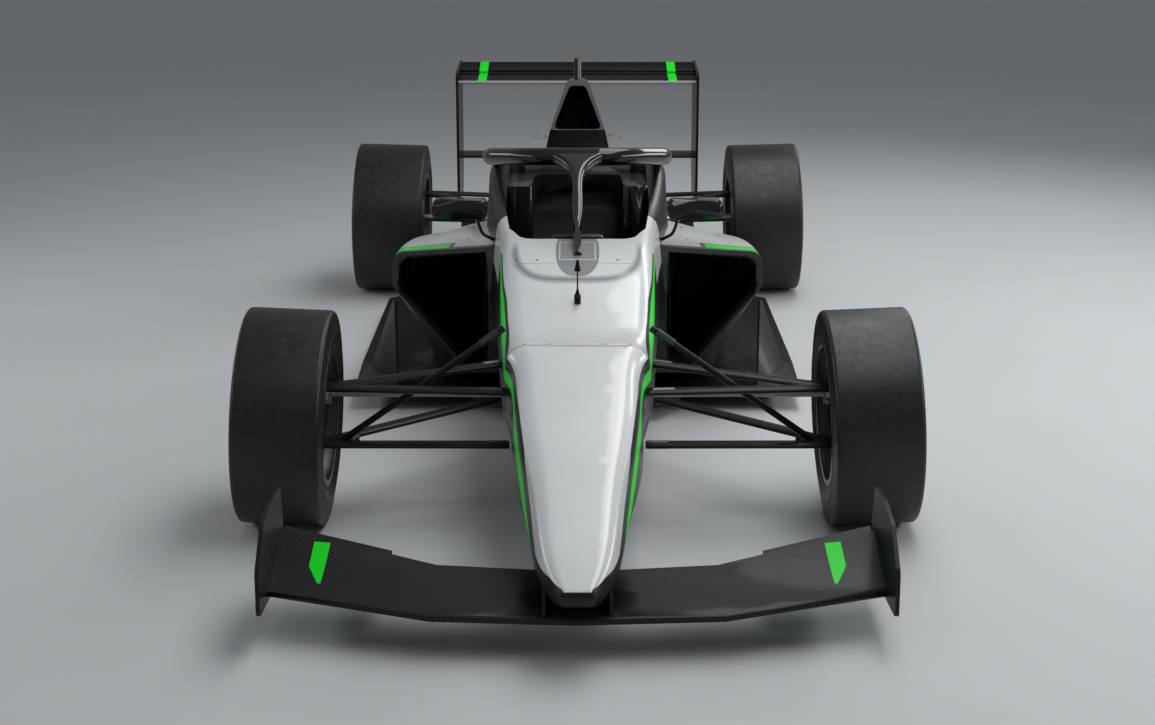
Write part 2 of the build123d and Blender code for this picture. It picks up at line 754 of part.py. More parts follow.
# ---------------------------------------------------------------- cockpit
halo_radius = 26.0
halo_plane = Plane(origin=(0, behind(985), 794), x_dir=(1, 0, 0), z_dir=(0, sin(radians(8.5)), cos(radians(8.5))))
# distance, z, lean of the section, width, depth and corner radius of the strut
strut_sections = (
    (470, 585, 26, 24, 64, 10),
    (640, 662, 24, 24, 46, 10),
    (780, 723, 22, 30, 42, 12),
    (880, 763, 20, 52, 40, 14),
    (945, 785, 16, 116, 36, 14),
    (990, 794, 14, 236, 32, 14),
)
with BuildPart() as halo:
    with BuildLine(halo_plane) as halo_run:
        FilletPolyline(
            (-240, 548), (-264, 420), (-267, 190), (-140, 0), (140, 0), (267, 190), (264, 420), (240, 548),
            radius=[90, 110, 150, 150, 110, 90],
        )
    with BuildSketch(Plane(origin=halo_run.line @ 0, z_dir=halo_run.line % 0)):
        Circle(halo_radius)
    sweep(path=halo_run.line)
    for sign in (1, -1):
        foot = halo_plane.from_local_coords(Vector(sign * 240, 540, 0))
        with BuildSketch(Plane(origin=(foot.X, foot.Y, 560), x_dir=(0, 1, 0), z_dir=(0, 0, 1))):
            SlotOverall(84, 44)
        extrude(amount=foot.Z - 560)
    # centre strut from the cell's nose up to the hoop
    strut = []
    for d, z, lean, width, depth, corner in strut_sections:
        tilt = radians(lean)
        with BuildSketch(Plane(origin=(0, behind(d), z), x_dir=(1, 0, 0), z_dir=(0, cos(tilt), sin(tilt)))) as row:
            RectangleRounded(width, depth, corner)
        strut.append(row.sketch)
    loft(sections=strut)
    add(cell_outside.part, mode=Mode.SUBTRACT)
    add(cover_outside.part, mode=Mode.SUBTRACT)
write(halo, "halo")

seat_profile = (
    (760, 178), (900, 104), (1180, 96), (1270, 130), (1420, 420), (1434, 610), (1372, 617), (1240, 190),
    (1150, 140), (910, 146), (780, 214),
)
with BuildPart() as seat:
    with BuildSketch(lengthwise(-190)):
        with BuildLine():
            Polyline(*[(behind(d), z) for d, z in seat_profile], close=True)
        make_face()
    extrude(amount=380)
    for x in (-214, 190):
        with BuildSketch(lengthwise(x)):
            with BuildLine():
                FilletPolyline(
                    *[(behind(d), z) for d, z in ((820, 130), (1200, 96), (1434, 560), (1300, 560), (1120, 330), (840, 250))],
                    close=True, radius=20,
                )
            make_face()
        extrude(amount=24)
    add(cell_hollow.part, mode=Mode.INTERSECT)
write(seat, "seat")

with BuildPart() as headrest:
    with BuildSketch(Plane.XY.offset(508)):
        with BuildLine():
            FilletPolyline(
                (-215.7, behind(1439.7)), (-215.7, behind(1150)), (-142, behind(1150)), (-136, behind(1385)),
                (136, behind(1385)), (142, behind(1150)), (215.7, behind(1150)), (215.7, behind(1439.7)),
                close=True, radius=[10, 26, 14, 40, 40, 14, 26, 10],
            )
        make_face()
    extrude(amount=168)
    # surround behind the head, on top of the cell
    loft(sections=[
        hull(1438, 150, 156, 112, 600, 640, 692, 10, 12, 34),
        hull(airbox_front, 112, 118, 74, 600, 650, 773, 10, 12, 34),
    ])
    for solid in (cell, cover_outside, halo, seat):
        add(solid.part, mode=Mode.SUBTRACT)
write(headrest, "headrest")

# ---------------------------------------------------------------- steering
column_start = point(0, 300, 410)
wheel_middle = point(0, 740, 525)
column_direction = (wheel_middle - column_start).normalized()
column_radius = 10.0
column_tube = 18.0
column_length = (wheel_middle - column_start).length
wheel_plane = Plane(origin=wheel_middle, x_dir=(1, 0, 0), z_dir=column_direction)
with BuildPart() as column:
    with BuildSketch(Plane(origin=column_start, x_dir=(1, 0, 0), z_dir=column_direction)):
        Circle(column_tube)
        Circle(column_radius + running_fit, mode=Mode.SUBTRACT)
    extrude(amount=column_length - 60)
    # hoop that carries the column across the cell
    hoop = Plane(origin=column_start + column_direction * (column_length - 110), x_dir=(1, 0, 0), z_dir=column_direction)
    with BuildSketch(hoop):
        with Locations((0, 0)):
            Rectangle(436, 44)
        Circle(column_radius + running_fit, mode=Mode.SUBTRACT)
    extrude(amount=16)
    add(cell_outside.part, mode=Mode.INTERSECT)
    add(cell.part, mode=Mode.SUBTRACT)
write(column, "steering_column")

with BuildPart() as steering_wheel:
    with BuildSketch(Plane(origin=column_start, x_dir=(1, 0, 0), z_dir=column_direction)):
        Circle(column_radius)
    extrude(amount=column_length)
    with BuildSketch(wheel_plane.offset(-30)):
        Circle(24)
    extrude(amount=34)
    with BuildSketch(wheel_plane):
        with BuildLine():
            FilletPolyline((-70, 82), (70, 82), (92, 40), (92, -50), (60, -78), (-60, -78), (-92, -50), (-92, 40),
                           close=True, radius=18)
        make_face()
    extrude(amount=22)
    for sign in (1, -1):
        with BuildSketch(wheel_plane.offset(-4)):
            with Locations((sign * 104, 0)):
                SlotOverall(140, 36, rotation=90)
        extrude(amount=30)
write(steering_wheel, "steering_wheel")

with BuildPart() as rack:
    with BuildSketch(Plane(origin=(0, rack_y, track_rod_z), x_dir=(0, 1, 0), z_dir=(1, 0, 0))):
        Circle(rack_radius)
    extrude(amount=rack_half, both=True)
    with BuildSketch(Plane(origin=(0, rack_y, track_rod_z), x_dir=(0, 1, 0), z_dir=(1, 0, 0))):
        Circle(track_rod_radius)
    extrude(amount=stud_x - stud_radius - stud_play - 2, both=True)
    for sign in (1, -1):
        with BuildSketch(Plane(origin=(sign * stud_x, rack_y, track_rod_z - rod_eye_height / 2))):
            Circle(stud_radius + stud_play + rod_eye_wall)
        extrude(amount=rod_eye_height)
        with BuildSketch(Plane(origin=(sign * stud_x, rack_y, track_rod_z - rod_eye_height))):
            Circle(stud_radius + stud_play)
        extrude(amount=2 * rod_eye_height, mode=Mode.SUBTRACT)
write(rack, "steering_rack")

# ---------------------------------------------------------------- wishbones, pushrods, toe links


def leg(start, end, chord, thickness):
    """Aerofoil-like bar between two points, inside a part."""
    with BuildSketch(along(start, end)) as section:
        Ellipse(chord / 2, thickness / 2)
    return section.sketch


for corner, axle, links in (("front", front, front_links), ("rear", rear, rear_links)):
    body = (cell_outside, nose) if axle is front else (gearbox, sidepod, uprights["rear"])
    for kind, ball, legs in (("lower", links.lower, links.lower_legs), ("upper", links.upper, links.upper_legs)):
        with BuildPart() as wishbone:
            for inner in legs:
                extrude(leg(ball, inner, leg_chord, leg_thickness), amount=(inner - ball).length, dir=(inner - ball))
            if kind == "lower":
                push = links.push_high - links.push_low
                extrude(leg(links.push_low, links.push_high, push_chord, push_thickness), amount=push.length, dir=push)
                web = [(ball + (inner - ball).normalized() * reach) for inner, reach in ((legs[0], 120), (legs[1], 150))]
                with BuildSketch(Plane.XY.offset(ball.Z - 7)):
                    with BuildLine():
                        Polyline((ball.X, ball.Y), *[(p.X, p.Y) for p in web], close=True)
                    make_face()
                extrude(amount=14)
                if axle is rear:
                    toe = toe_link_inner - toe_link_outer
                    extrude(leg(toe_link_outer, toe_link_inner, 30, 16), amount=toe.length, dir=toe)
            with BuildSketch(Plane(origin=ball, z_dir=links.kingpin)):
                Circle(eye_radius + ear_gap)
            extrude(amount=3 * eye_height, both=True, mode=Mode.SUBTRACT)
            with BuildSketch(Plane(origin=ball, z_dir=links.kingpin)):
                Circle(eye_radius + ear_gap + 1)
                Circle(pin_radius + running_fit, mode=Mode.SUBTRACT)
            extrude(amount=eye_height / 2, both=True)
            for solid in body:
                add(solid.part, mode=Mode.SUBTRACT)
        write_pair(wishbone, f"{corner}_{kind}_links")

# ---------------------------------------------------------------- mirrors and probe
with BuildPart() as mirror_unit:
    with BuildSketch(Plane(origin=(350, behind(930), 642), x_dir=(1, 0, 0), z_dir=(0, 1, 0))):
        RectangleRounded(166, 56, 20)
    extrude(amount=60)
    stalk_path = [(305, behind(960), 620), (285, behind(960), 564), (225, behind(960), 534)]
    with BuildLine() as stalk_run:
        FilletPolyline(*stalk_path, radius=30)
    with BuildSketch(Plane(origin=stalk_run.line @ 0, z_dir=stalk_run.line % 0)):
        Circle(5)
    sweep(path=stalk_run.line)
    add(cell_outside.part, mode=Mode.SUBTRACT)
write_pair(mirror_unit, "mirror")

with BuildPart() as probe:
    base = point(0, 200, 500)
    with Locations((base.X, base.Y, 500)):
        Cylinder(9, 50, align=(Align.CENTER, Align.CENTER, Align.MIN))
    with Locations((base.X, base.Y, 550)):
        Cone(7, 2.5, 16, align=(Align.CENTER, Align.CENTER, Align.MIN))
    with Locations((base.X, base.Y, 560)):
        Cylinder(2, 80, align=(Align.CENTER, Align.CENTER, Align.MIN))
    with Locations((base.X, base.Y, 614)):
        Cone(9, 3, 30, align=(Align.CENTER, Align.CENTER, Align.MIN))
    add(cell_outside.part, mode=Mode.SUBTRACT)
write(probe, "pressure_probe")
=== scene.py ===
from math import atan2, cos, pi, radians, sin, sqrt

import bmesh
import bpy
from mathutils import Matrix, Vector
from mathutils.bvhtree import BVHTree


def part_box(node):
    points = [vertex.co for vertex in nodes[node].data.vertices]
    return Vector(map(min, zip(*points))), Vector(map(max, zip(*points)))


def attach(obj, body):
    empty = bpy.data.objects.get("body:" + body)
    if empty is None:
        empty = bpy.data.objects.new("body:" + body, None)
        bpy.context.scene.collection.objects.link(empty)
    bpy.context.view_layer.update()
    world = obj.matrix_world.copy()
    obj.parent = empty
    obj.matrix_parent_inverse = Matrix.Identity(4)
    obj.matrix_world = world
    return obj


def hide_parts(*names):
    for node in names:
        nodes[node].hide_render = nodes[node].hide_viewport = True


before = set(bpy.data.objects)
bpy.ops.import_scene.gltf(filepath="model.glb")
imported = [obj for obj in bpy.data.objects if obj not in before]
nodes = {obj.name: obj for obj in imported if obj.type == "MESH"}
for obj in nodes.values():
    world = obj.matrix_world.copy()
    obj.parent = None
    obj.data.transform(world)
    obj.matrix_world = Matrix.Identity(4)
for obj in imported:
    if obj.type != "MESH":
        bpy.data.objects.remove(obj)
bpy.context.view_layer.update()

# ---------------------------------------------------------------- studio
# Wide pale floor under a soft box overhead and long strips at the sides, so lacquer and carbon
# show soft bands of light.
camera_place = (0.0, -5.927, 1.6795)
camera_down = 14.774
camera_data = bpy.data.cameras.new("camera")
camera_data.sensor_fit = "HORIZONTAL"
camera_data.sensor_width = 36.0
camera_data.lens = 60.705
camera = bpy.data.objects.new("camera", camera_data)
camera.location = camera_place
camera.rotation_euler = (radians(90 - camera_down), 0.0, 0.0)
bpy.context.collection.objects.link(camera)
bpy.context.scene.camera = camera
bpy.context.scene.view_settings.view_transform = "Standard"


class Finish:
    """A finish in the making: each call adds one node to its material."""

    def __init__(self, name, colour, rough, metal=0.0, coat=0.0, coat_rough=0.05, spec=0.5):
        self.mat = bpy.data.materials.new(name)
        self.mat.use_nodes = True
        self.tree = self.mat.node_tree
        self.shader = self.tree.nodes["Principled BSDF"]
        plain = {"Base Color": (*colour, 1.0), "Roughness": rough, "Metallic": metal,
                 "Specular IOR Level": spec, "Coat Weight": coat, "Coat Roughness": coat_rough}
        for socket, value in plain.items():
            self.shader.inputs[socket].default_value = value
        self.place = self.add("TexCoord").outputs["Object"]
        self.x, self.y, self.z = self.add("SeparateXYZ", Vector=self.place).outputs

    def add(self, kind, settings=(), **inputs):
        """Adds a shader node; an input is given by its name, or by i and its number."""
        node = self.tree.nodes.new("ShaderNode" + kind)
        for key, value in dict(settings).items():
            setattr(node, key, value)
        for key, value in inputs.items():
            socket = node.inputs[int(key[1:]) if key[1:].isdigit() else key.replace("_", " ")]
            if isinstance(value, bpy.types.NodeSocket):
                self.tree.links.new(value, socket)
            else:
                socket.default_value = value
        return node

    def math(self, operation, a, b=0.0, c=0.0):
        return self.add("Math", {"operation": operation}, i0=a, i1=b, i2=c).outputs[0]

    def times(self, a, b):
        return self.math("MULTIPLY", a, b)

    def plus(self, a, b):
        return self.math("ADD", a, b)

    def minus(self, a, b):
        return self.math("SUBTRACT", a, b)

    def larger(self, a, b):
        return self.math("MAXIMUM", a, b)

    def size(self, a):
        """The value without its sign."""
        return self.math("ABSOLUTE", a)

    def zigzag(self, value, per_metre):
        """Runs from 0 to 0.5 and back, this many half turns to the metre."""
        return self.math("PINGPONG", self.times(value, per_metre), 0.5)

    def span(self, value, low, high, to_low=0.0, to_high=1.0):
        """Maps a value between two limits to another range, clamped."""
        limits = dict(From_Min=low, From_Max=high, To_Min=to_low, To_Max=to_high)
        return self.add("MapRange", {"interpolation_type": "LINEAR"}, Value=value, **limits).outputs[0]

    def before(self, value, low, high):
        """1 below the first limit, 0 past the second."""
        return self.span(value, low, high, 1.0, 0.0)

    def band(self, value, low, high, soft=0.0006):
        """1 between two limits, 0 outside, with a soft edge."""
        rise = self.span(value, low - soft, low + soft)
        return self.times(rise, self.before(value, high - soft, high + soft))

    def mix(self, factor, a, b):
        node = self.add("Mix", {"data_type": "RGBA"}, i0=factor)
        for socket, value in ((node.inputs[6], a), (node.inputs[7], b)):
            if isinstance(value, bpy.types.NodeSocket):
                self.tree.links.new(value, socket)
            else:
                socket.default_value = (*value, 1.0)
        return node.outputs[2]

    def noise(self, scale, detail=3.0, rough=0.5, stretch=None):
        where = self.place
        if stretch:
            where = self.add("Mapping", Vector=self.place, Scale=stretch).outputs[0]
        return self.add("TexNoise", Vector=where, Scale=scale, Detail=detail, Roughness=rough).outputs[0]

    def twill(self, thread):
        """Two by two twill weave laid flat or on the flank: which strand is on top, and its crown."""
        facing = self.add("SeparateXYZ", Vector=self.add("NewGeometry").outputs["Normal"])
        flat = self.span(self.size(facing.outputs[2]), 0.45, 0.55)
        fore = self.span(self.size(facing.outputs[1]), 0.65, 0.75)
        level = self.larger(flat, fore)
        across = self.plus(self.times(self.x, level), self.times(self.z, self.minus(1.0, level)))
        along = self.plus(self.times(self.y, self.minus(1.0, fore)), self.times(self.z, fore))
        a, b = (self.math("DIVIDE", way, thread) for way in (across, along))
        step = self.plus(self.math("FLOOR", a), self.math("FLOOR", b))
        over = self.math("LESS_THAN", self.math("FRACT", self.math("DIVIDE", step, 4.0)), 0.5)
        warp, weft = (self.math("PINGPONG", way, 0.5) for way in (a, b))
        return over, self.add("Mix", {"data_type": "FLOAT"}, i0=over, i2=warp, i3=weft).outputs[0]

    def set(self, name, value):
        self.tree.links.new(value, self.shader.inputs[name])

    def shades(self, tone, first, second):
        """Base colour from the first shade at tone 0 to the second at tone 1."""
        self.set("Base Color", self.mix(tone, first, second))

    def worn(self, tone, smooth, dull):
        """Roughness that wanders between two values with a noise."""
        self.set("Roughness", self.span(tone, 0.3, 0.7, smooth, dull))

    def bump(self, height, distance, strength=1.0, under=None):
        settings = dict(Height=height, Distance=distance, Strength=strength)
        if under is not None:
            settings["Normal"] = under
        out = self.add("Bump", **settings).outputs[0]
        self.set("Normal", out)
        return out


def plain_mesh(name, points, faces, smooth=True, angle=40):
    mesh = bpy.data.meshes.new(name)
    mesh.from_pydata(points, [], faces)
    mesh.validate()
    piece = bpy.data.objects.new(name, mesh)
    bpy.context.collection.objects.link(piece)
    if smooth:
        mesh.shade_smooth()
        mesh.set_sharp_from_angle(angle=radians(angle))
    return piece


def ring(radius, sides=16):
    """Points (u, v) of a circle."""
    return [(radius * cos(2 * pi * i / sides), radius * sin(2 * pi * i / sides)) for i in range(sides)]


floor_radius, floor_sides = 60.0, 96
rim = [(u, v, 0.0) for u, v in ring(floor_radius, floor_sides)]
studio = plain_mesh("studio_floor", rim, [tuple(range(floor_sides))], smooth=False)
studio_finish = Finish("studio_paper", (0.66, 0.68, 0.69), 0.8, spec=0.2)
studio_finish.shades(studio_finish.noise(1.3), (0.60, 0.62, 0.63), (0.64, 0.66, 0.67))
studio.data.materials.append(studio_finish.mat)

world = bpy.data.worlds.new("studio_air")
world.use_nodes = True
air = world.node_tree.nodes["Background"]
air.inputs["Color"].default_value = (0.72, 0.75, 0.78, 1.0)
air.inputs["Strength"].default_value = 0.26
bpy.context.scene.world = world

# name, place, turn, size x, size y, power
lamps = (
    ("soft_box_above", (1.0, -0.3, 3.8), (0, 8, 0), 1.6, 6.0, 92.0),
    ("strip_left", (3.4, -0.4, 1.5), (0, 80, 0), 0.5, 5.0, 46.0),
    ("strip_right", (-3.4, -0.4, 1.5), (0, -80, 0), 0.5, 5.0, 24.0),
    ("back_light", (2.6, 3.8, 2.6), (-60, 0, -35), 2.2, 1.0, 24.0),
    ("front_fill", (0.0, -4.6, 5.2), (32, 0, 0), 3.0, 1.0, 10.0),
)
for name, place, turn, size_x, size_y, power in lamps:
    lamp_data = bpy.data.lights.new(name, "AREA")
    lamp_data.shape = "RECTANGLE"
    lamp_data.size, lamp_data.size_y = size_x, size_y
    lamp_data.energy = power
    lamp = bpy.data.objects.new(name, lamp_data)
    lamp.location = place
    lamp.rotation_euler = [radians(a) for a in turn]
    bpy.context.collection.objects.link(lamp)

# ---------------------------------------------------------------- survival cell
# Moulded carbon tub with its cockpit mouth, lacquered silver-white on top and black on its
# flanks. A green stripe runs along each flank, a little under the shoulder.
front_axle = -1.15
# each side's name and the sign of its x
hands = (("left", 1), ("right", -1))


def smooth_copy(node, body, finish, angle=32):
    """A welded, smoothly shaded skin over a frame node."""
    mesh = nodes[node].data.copy()
    work = bmesh.new()
    work.from_mesh(mesh)
    bmesh.ops.remove_doubles(work, verts=work.verts, dist=0.00002)
    work.to_mesh(mesh)
    work.free()
    mesh.name = node + "_skin"
    mesh.shade_smooth()
    mesh.set_sharp_from_angle(angle=radians(angle))
    piece = bpy.data.objects.new(node + "_skin", mesh)
    bpy.context.collection.objects.link(piece)
    return dress(piece, finish, body, node)


def dress(piece, finish, body, *stands_for):
    """Gives a piece its finish and the body it rides on, and hides the nodes it stands for."""
    piece.data.materials.clear()
    piece.data.materials.append(finish.mat)
    if stands_for:
        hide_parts(*stands_for)
    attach(piece, body)
    return piece


white = (0.74, 0.76, 0.77)
grey = (0.27, 0.285, 0.295)
graphite = (0.055, 0.058, 0.062)
green = (0.006, 0.90, 0.018)
black = (0.0075, 0.0076, 0.009)
lacquer_coat = 0.5


def lacquer(name):
    """Silver-white satin lacquer under a clear coat, with a fine flake and a trace of orange peel."""
    finish = Finish(name, white, 0.36, 0.10, coat=lacquer_coat, coat_rough=0.08, spec=0.35)
    finish.peel = finish.noise(420.0, 2.0)
    finish.satin = finish.span(finish.noise(2600.0, 1.0), 0.3, 0.7, 0.30, 0.40)
    finish.set("Roughness", finish.satin)
    dimmer = tuple(c * 0.95 for c in white)
    finish.silver = finish.mix(finish.span(finish.noise(3.0, 2.0), 0.3, 0.7), dimmer, white)
    finish.back = finish.minus(finish.y, front_axle)
    finish.side = finish.size(finish.x)
    return finish


# distance behind the front axle and height of the roof line
roof_line = (
    (-1.0, 0.190), (-0.95, 0.218), (-0.84, 0.264), (-0.6, 0.338), (-0.3, 0.418), (-0.05, 0.478),
    (0.3, 0.560), (0.62, 0.622), (0.9, 0.634), (1.12, 0.662), (1.6, 0.684),
)
# how far below the roof line the white ends, and where the green starts and how wide it is
white_ends = (
    (-1.0, 0.001), (-0.99, 0.001), (-0.958, 0.010), (-0.907, 0.028), (-0.85, 0.042), (-0.75, 0.040),
    (-0.65, 0.036), (-0.57, 0.029), (-0.50, 0.021), (-0.42, 0.019), (-0.34, 0.021), (-0.25, 0.027),
    (-0.12, 0.033), (0.05, 0.036), (0.15, 0.032), (0.25, 0.022), (0.45, 0.020), (0.57, 0.024),
    (0.63, 0.140), (1.6, 0.140),
)
green_starts = (
    (-1.0, 0.066), (-0.745, 0.066), (-0.63, 0.067), (-0.58, 0.060), (-0.53, 0.052), (-0.477, 0.044),
    (-0.416, 0.040), (-0.338, 0.043), (-0.25, 0.054), (-0.15, 0.064), (-0.06, 0.062), (0.02, 0.052),
    (0.1, 0.044), (0.25, 0.032), (0.45, 0.027), (0.6, 0.034), (1.6, 0.034),
)
green_width = (
    (-1.0, 0.0), (-0.83, 0.001), (-0.75, 0.007), (-0.66, 0.018), (-0.6, 0.024), (-0.54, 0.030),
    (-0.42, 0.034), (-0.3, 0.036), (-0.15, 0.030), (-0.05, 0.030), (0.06, 0.040), (0.2, 0.052),
    (0.3, 0.056), (0.45, 0.050), (0.57, 0.020), (0.60, 0.0), (1.6, 0.0),
)
nose_tip, tail_end = -1.0, 1.6


def lengthwise(finish, table, full):
    """A size as a function of the distance behind the front axle, from a table of (distance, size)."""
    node = finish.add("FloatCurve", Value=finish.span(finish.back, nose_tip, tail_end))
    curve = node.mapping.curves[0]
    spots = [((distance - nose_tip) / (tail_end - nose_tip), size / full) for distance, size in table]
    curve.points[0].location, curve.points[-1].location = spots[0], spots[-1]
    for spot in spots[1:-1]:
        curve.points.new(*spot)
    for point in curve.points:
        point.handle_type = "VECTOR"
    node.mapping.update()
    return finish.times(node.outputs[0], full)


def oval(finish, half_width, middle, half_length, power):
    """Grows from 0 at the middle of a rounded oblong to 1 at its edge, before its root is taken."""
    across = finish.math("POWER", finish.math("DIVIDE", finish.side, half_width), power)
    along = finish.math("DIVIDE", finish.minus(finish.back, middle), half_length)
    return finish.plus(across, finish.math("POWER", finish.size(along), power))


cell_finish = lacquer("cell_lacquer")
f = cell_finish
below = f.minus(lengthwise(f, roof_line, 0.8), f.z)
# grey band of painted shade round the cockpit's front, standing in for the shadow of a step in its surface,
# then the grey patch and the hatch's outline at the halo's foot
cockpit_half_width, cockpit_middle, cockpit_half_length = 0.178, 0.63, 0.32
cockpit_edge = f.math("POWER", oval(f, cockpit_half_width, cockpit_middle, cockpit_half_length, 4.0), 0.25)
cockpit_step_shade = f.times(f.band(cockpit_edge, 0.93, 1.02, 0.035), f.before(f.back, 0.50, 0.58))
colour = f.mix(cockpit_step_shade, f.silver, grey)
strut_foot, patch_half_width, patch_half_length = 0.50, 0.060, 0.165
patch = f.before(oval(f, patch_half_width, strut_foot, patch_half_length, 2.6), 0.99, 1.01)
colour = f.mix(patch, colour, grey)
hatch_half_width, hatch_half_length = 0.050, 0.068
hatch_along = f.size(f.math("DIVIDE", f.minus(f.back, strut_foot), hatch_half_length))
hatch = f.larger(f.math("DIVIDE", f.side, hatch_half_width), hatch_along)
hatch_line = f.times(f.band(hatch, 0.955, 0.998, 0.006), f.span(f.z, 0.50, 0.52))
colour = f.mix(hatch_line, colour, (0.86, 0.88, 0.89))
# joints between the nose box, the tub and the cockpit's surround
nose_joint, surround_joint, joint_half = -0.050, 0.412, 0.0008
arch = f.plus(f.back, f.times(f.math("POWER", f.side, 2.0), 0.25))
joint = f.larger(f.band(f.back, nose_joint - 0.0012, nose_joint + 0.0012, 0.0005),
                 f.band(arch, surround_joint - joint_half, surround_joint + joint_half, 0.0005))
colour = f.mix(joint, colour, (0.10, 0.105, 0.11))
# black flanks with the green stripe, black tip, tail and bare carbon inside
paint_edge, tail_start = 0.0004, 0.900
flank = f.span(f.minus(below, lengthwise(f, white_ends, 0.2)), -paint_edge, paint_edge)
colour = f.mix(f.larger(flank, f.before(f.back, nose_tip + 0.0005, nose_tip + 0.0012)), colour, black)
into = f.minus(below, lengthwise(f, green_starts, 0.1))
stripe = f.math("LESS_THAN", into, lengthwise(f, green_width, 0.1))
stripe = f.times(f.span(into, -paint_edge, paint_edge), stripe)
colour = f.mix(stripe, colour, green)
tail = f.span(f.back, tail_start, tail_start + 0.002)
colour = f.mix(tail, colour, black)
well_top, well_half_width, well_front = 0.56, 0.20, 0.59
facing = f.add("SeparateXYZ", Vector=f.add("NewGeometry").outputs["Normal"]).outputs
inward = f.math("LESS_THAN", f.times(f.math("SIGN", f.x), facing[0]), -0.25)
in_well = f.times(f.math("LESS_THAN", f.z, well_top), f.math("LESS_THAN", f.side, well_half_width))
in_well = f.times(in_well, f.math("GREATER_THAN", facing[2], 0.5))
inside = f.times(f.larger(inward, in_well), f.math("GREATER_THAN", f.back, well_front))
f.set("Base Color", f.mix(inside, colour, (0.012, 0.012, 0.013)))
dark = f.larger(f.larger(flank, tail), inside)
f.set("Roughness", f.plus(f.satin, f.times(stripe, 0.15)))
f.set("Coat Weight", f.span(dark, 0.0, 1.0, lacquer_coat, 0.10))
f.bump(joint, -0.0006, under=f.bump(f.peel, 0.00004, 0.4))


def bands(sides, count):
    """Faces between count + 1 loops of points, one after the other, with this many points each."""
    faces = []
    for k in range(count):
        for i in range(sides):
            n = (i + 1) % sides
            faces.append((k * sides + i, k * sides + n, (k + 1) * sides + n, (k + 1) * sides + i))
    return faces


def capped(sides, count):
    """The same, closed at both ends."""
    return bands(sides, count) + [tuple(range(sides))[::-1], tuple(range(count * sides, (count + 1) * sides))]


def socket_screw(name, radius, height, finish, sides=24):
    """Button head screw with a hexagon socket, standing on its own origin along Z."""
    turns = [2 * pi * i / sides for i in range(sides)]
    hexagon = [cos(pi / 6) / cos(turn % (pi / 3) - pi / 6) for turn in turns]
    # share of the radius, share of the height, hexagonal or round
    rings = ((1.0, -0.4, 0), (1.0, 0.25, 0), (0.86, 0.78, 0), (0.62, 1.0, 0), (0.42, 1.0, 1), (0.40, 0.2, 1))
    points = []
    for share, level, six in rings:
        for turn, corner in zip(turns, hexagon):
            reach = radius * share * (corner if six else 1.0)
            points.append((reach * cos(turn), reach * sin(turn), height * level))
    piece = plain_mesh(name, points, capped(sides, len(rings) - 1), angle=30)
    piece.data.materials.append(finish.mat)
    bpy.context.collection.objects.unlink(piece)
    return piece


def node_group(name, inputs):
    """An empty Geometry Nodes group with named inputs, with its first and last nodes."""
    tree = bpy.data.node_groups.new(name, "GeometryNodeTree")
    tree.interface.new_socket("Geometry", in_out="OUTPUT", socket_type="NodeSocketGeometry")
    for label, kind in inputs:
        tree.interface.new_socket(label, in_out="INPUT", socket_type="NodeSocket" + kind)
    return tree, tree.nodes.new("NodeGroupInput"), tree.nodes.new("NodeGroupOutput")


def finish_group(tree, given, result, geometry):
    """Ends a group: its copies are made real and get the Metal."""
    real, metal = tree.nodes.new("GeometryNodeRealizeInstances"), tree.nodes.new("GeometryNodeSetMaterial")
    tree.links.new(geometry, real.inputs[0])
    tree.links.new(real.outputs[0], metal.inputs[0])
    tree.links.new(given.outputs["Metal"], metal.inputs["Material"])
    tree.links.new(metal.outputs[0], result.inputs[0])


def run_group(holder, tree, values, name, body):
    """Runs a group on a holder and leaves its result as a plain mesh that rides on a body."""
    modifier = holder.modifiers.new(name, "NODES")
    modifier.node_group = tree
    sockets = {s.name: s.identifier for s in tree.interface.items_tree if s.in_out == "INPUT"}
    for label, value in values.items():
        modifier[sockets[label]] = value
    bpy.context.view_layer.update()
    mesh = bpy.data.meshes.new_from_object(holder.evaluated_get(bpy.context.evaluated_depsgraph_get()))
    bpy.data.objects.remove(holder)
    piece = bpy.data.objects.new(name, mesh)
    bpy.context.collection.objects.link(piece)
    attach(piece, body)


def fastener_rows():
    """Node group: stands a copy of Head on each point, along its aim, and gives it the Metal."""
    inputs = (("Geometry", "Geometry"), ("Head", "Object"), ("Metal", "Material"), ("Turn Spread", "Float"))
    tree, given, result = node_group("fastener_rows", inputs)
    new, link = tree.nodes.new, tree.links.new
    aim = new("GeometryNodeInputNamedAttribute")
    aim.data_type = "FLOAT_VECTOR"
    aim.inputs["Name"].default_value = "aim"
    align = new("FunctionNodeAlignRotationToVector")
    align.axis = "Z"
    link(aim.outputs[0], align.inputs["Vector"])
    roll = new("FunctionNodeRandomValue")
    roll.data_type = "FLOAT"
    roll.inputs["Seed"].default_value = 7
    link(given.outputs["Turn Spread"], roll.inputs[3])
    twist = new("FunctionNodeAxisAngleToRotation")
    link(roll.outputs[1], twist.inputs["Angle"])
    both = new("FunctionNodeRotateRotation")
    both.rotation_space = "LOCAL"
    link(align.outputs[0], both.inputs[0])
    link(twist.outputs[0], both.inputs[1])
    head = new("GeometryNodeObjectInfo")
    link(given.outputs["Head"], head.inputs["Object"])
    place = new("GeometryNodeInstanceOnPoints")
    link(given.outputs["Geometry"], place.inputs["Points"])
    link(head.outputs["Geometry"], place.inputs["Instance"])
    link(both.outputs[0], place.inputs["Rotation"])
    finish_group(tree, given, result, place.outputs[0])
    return tree


rows_tree = fastener_rows()


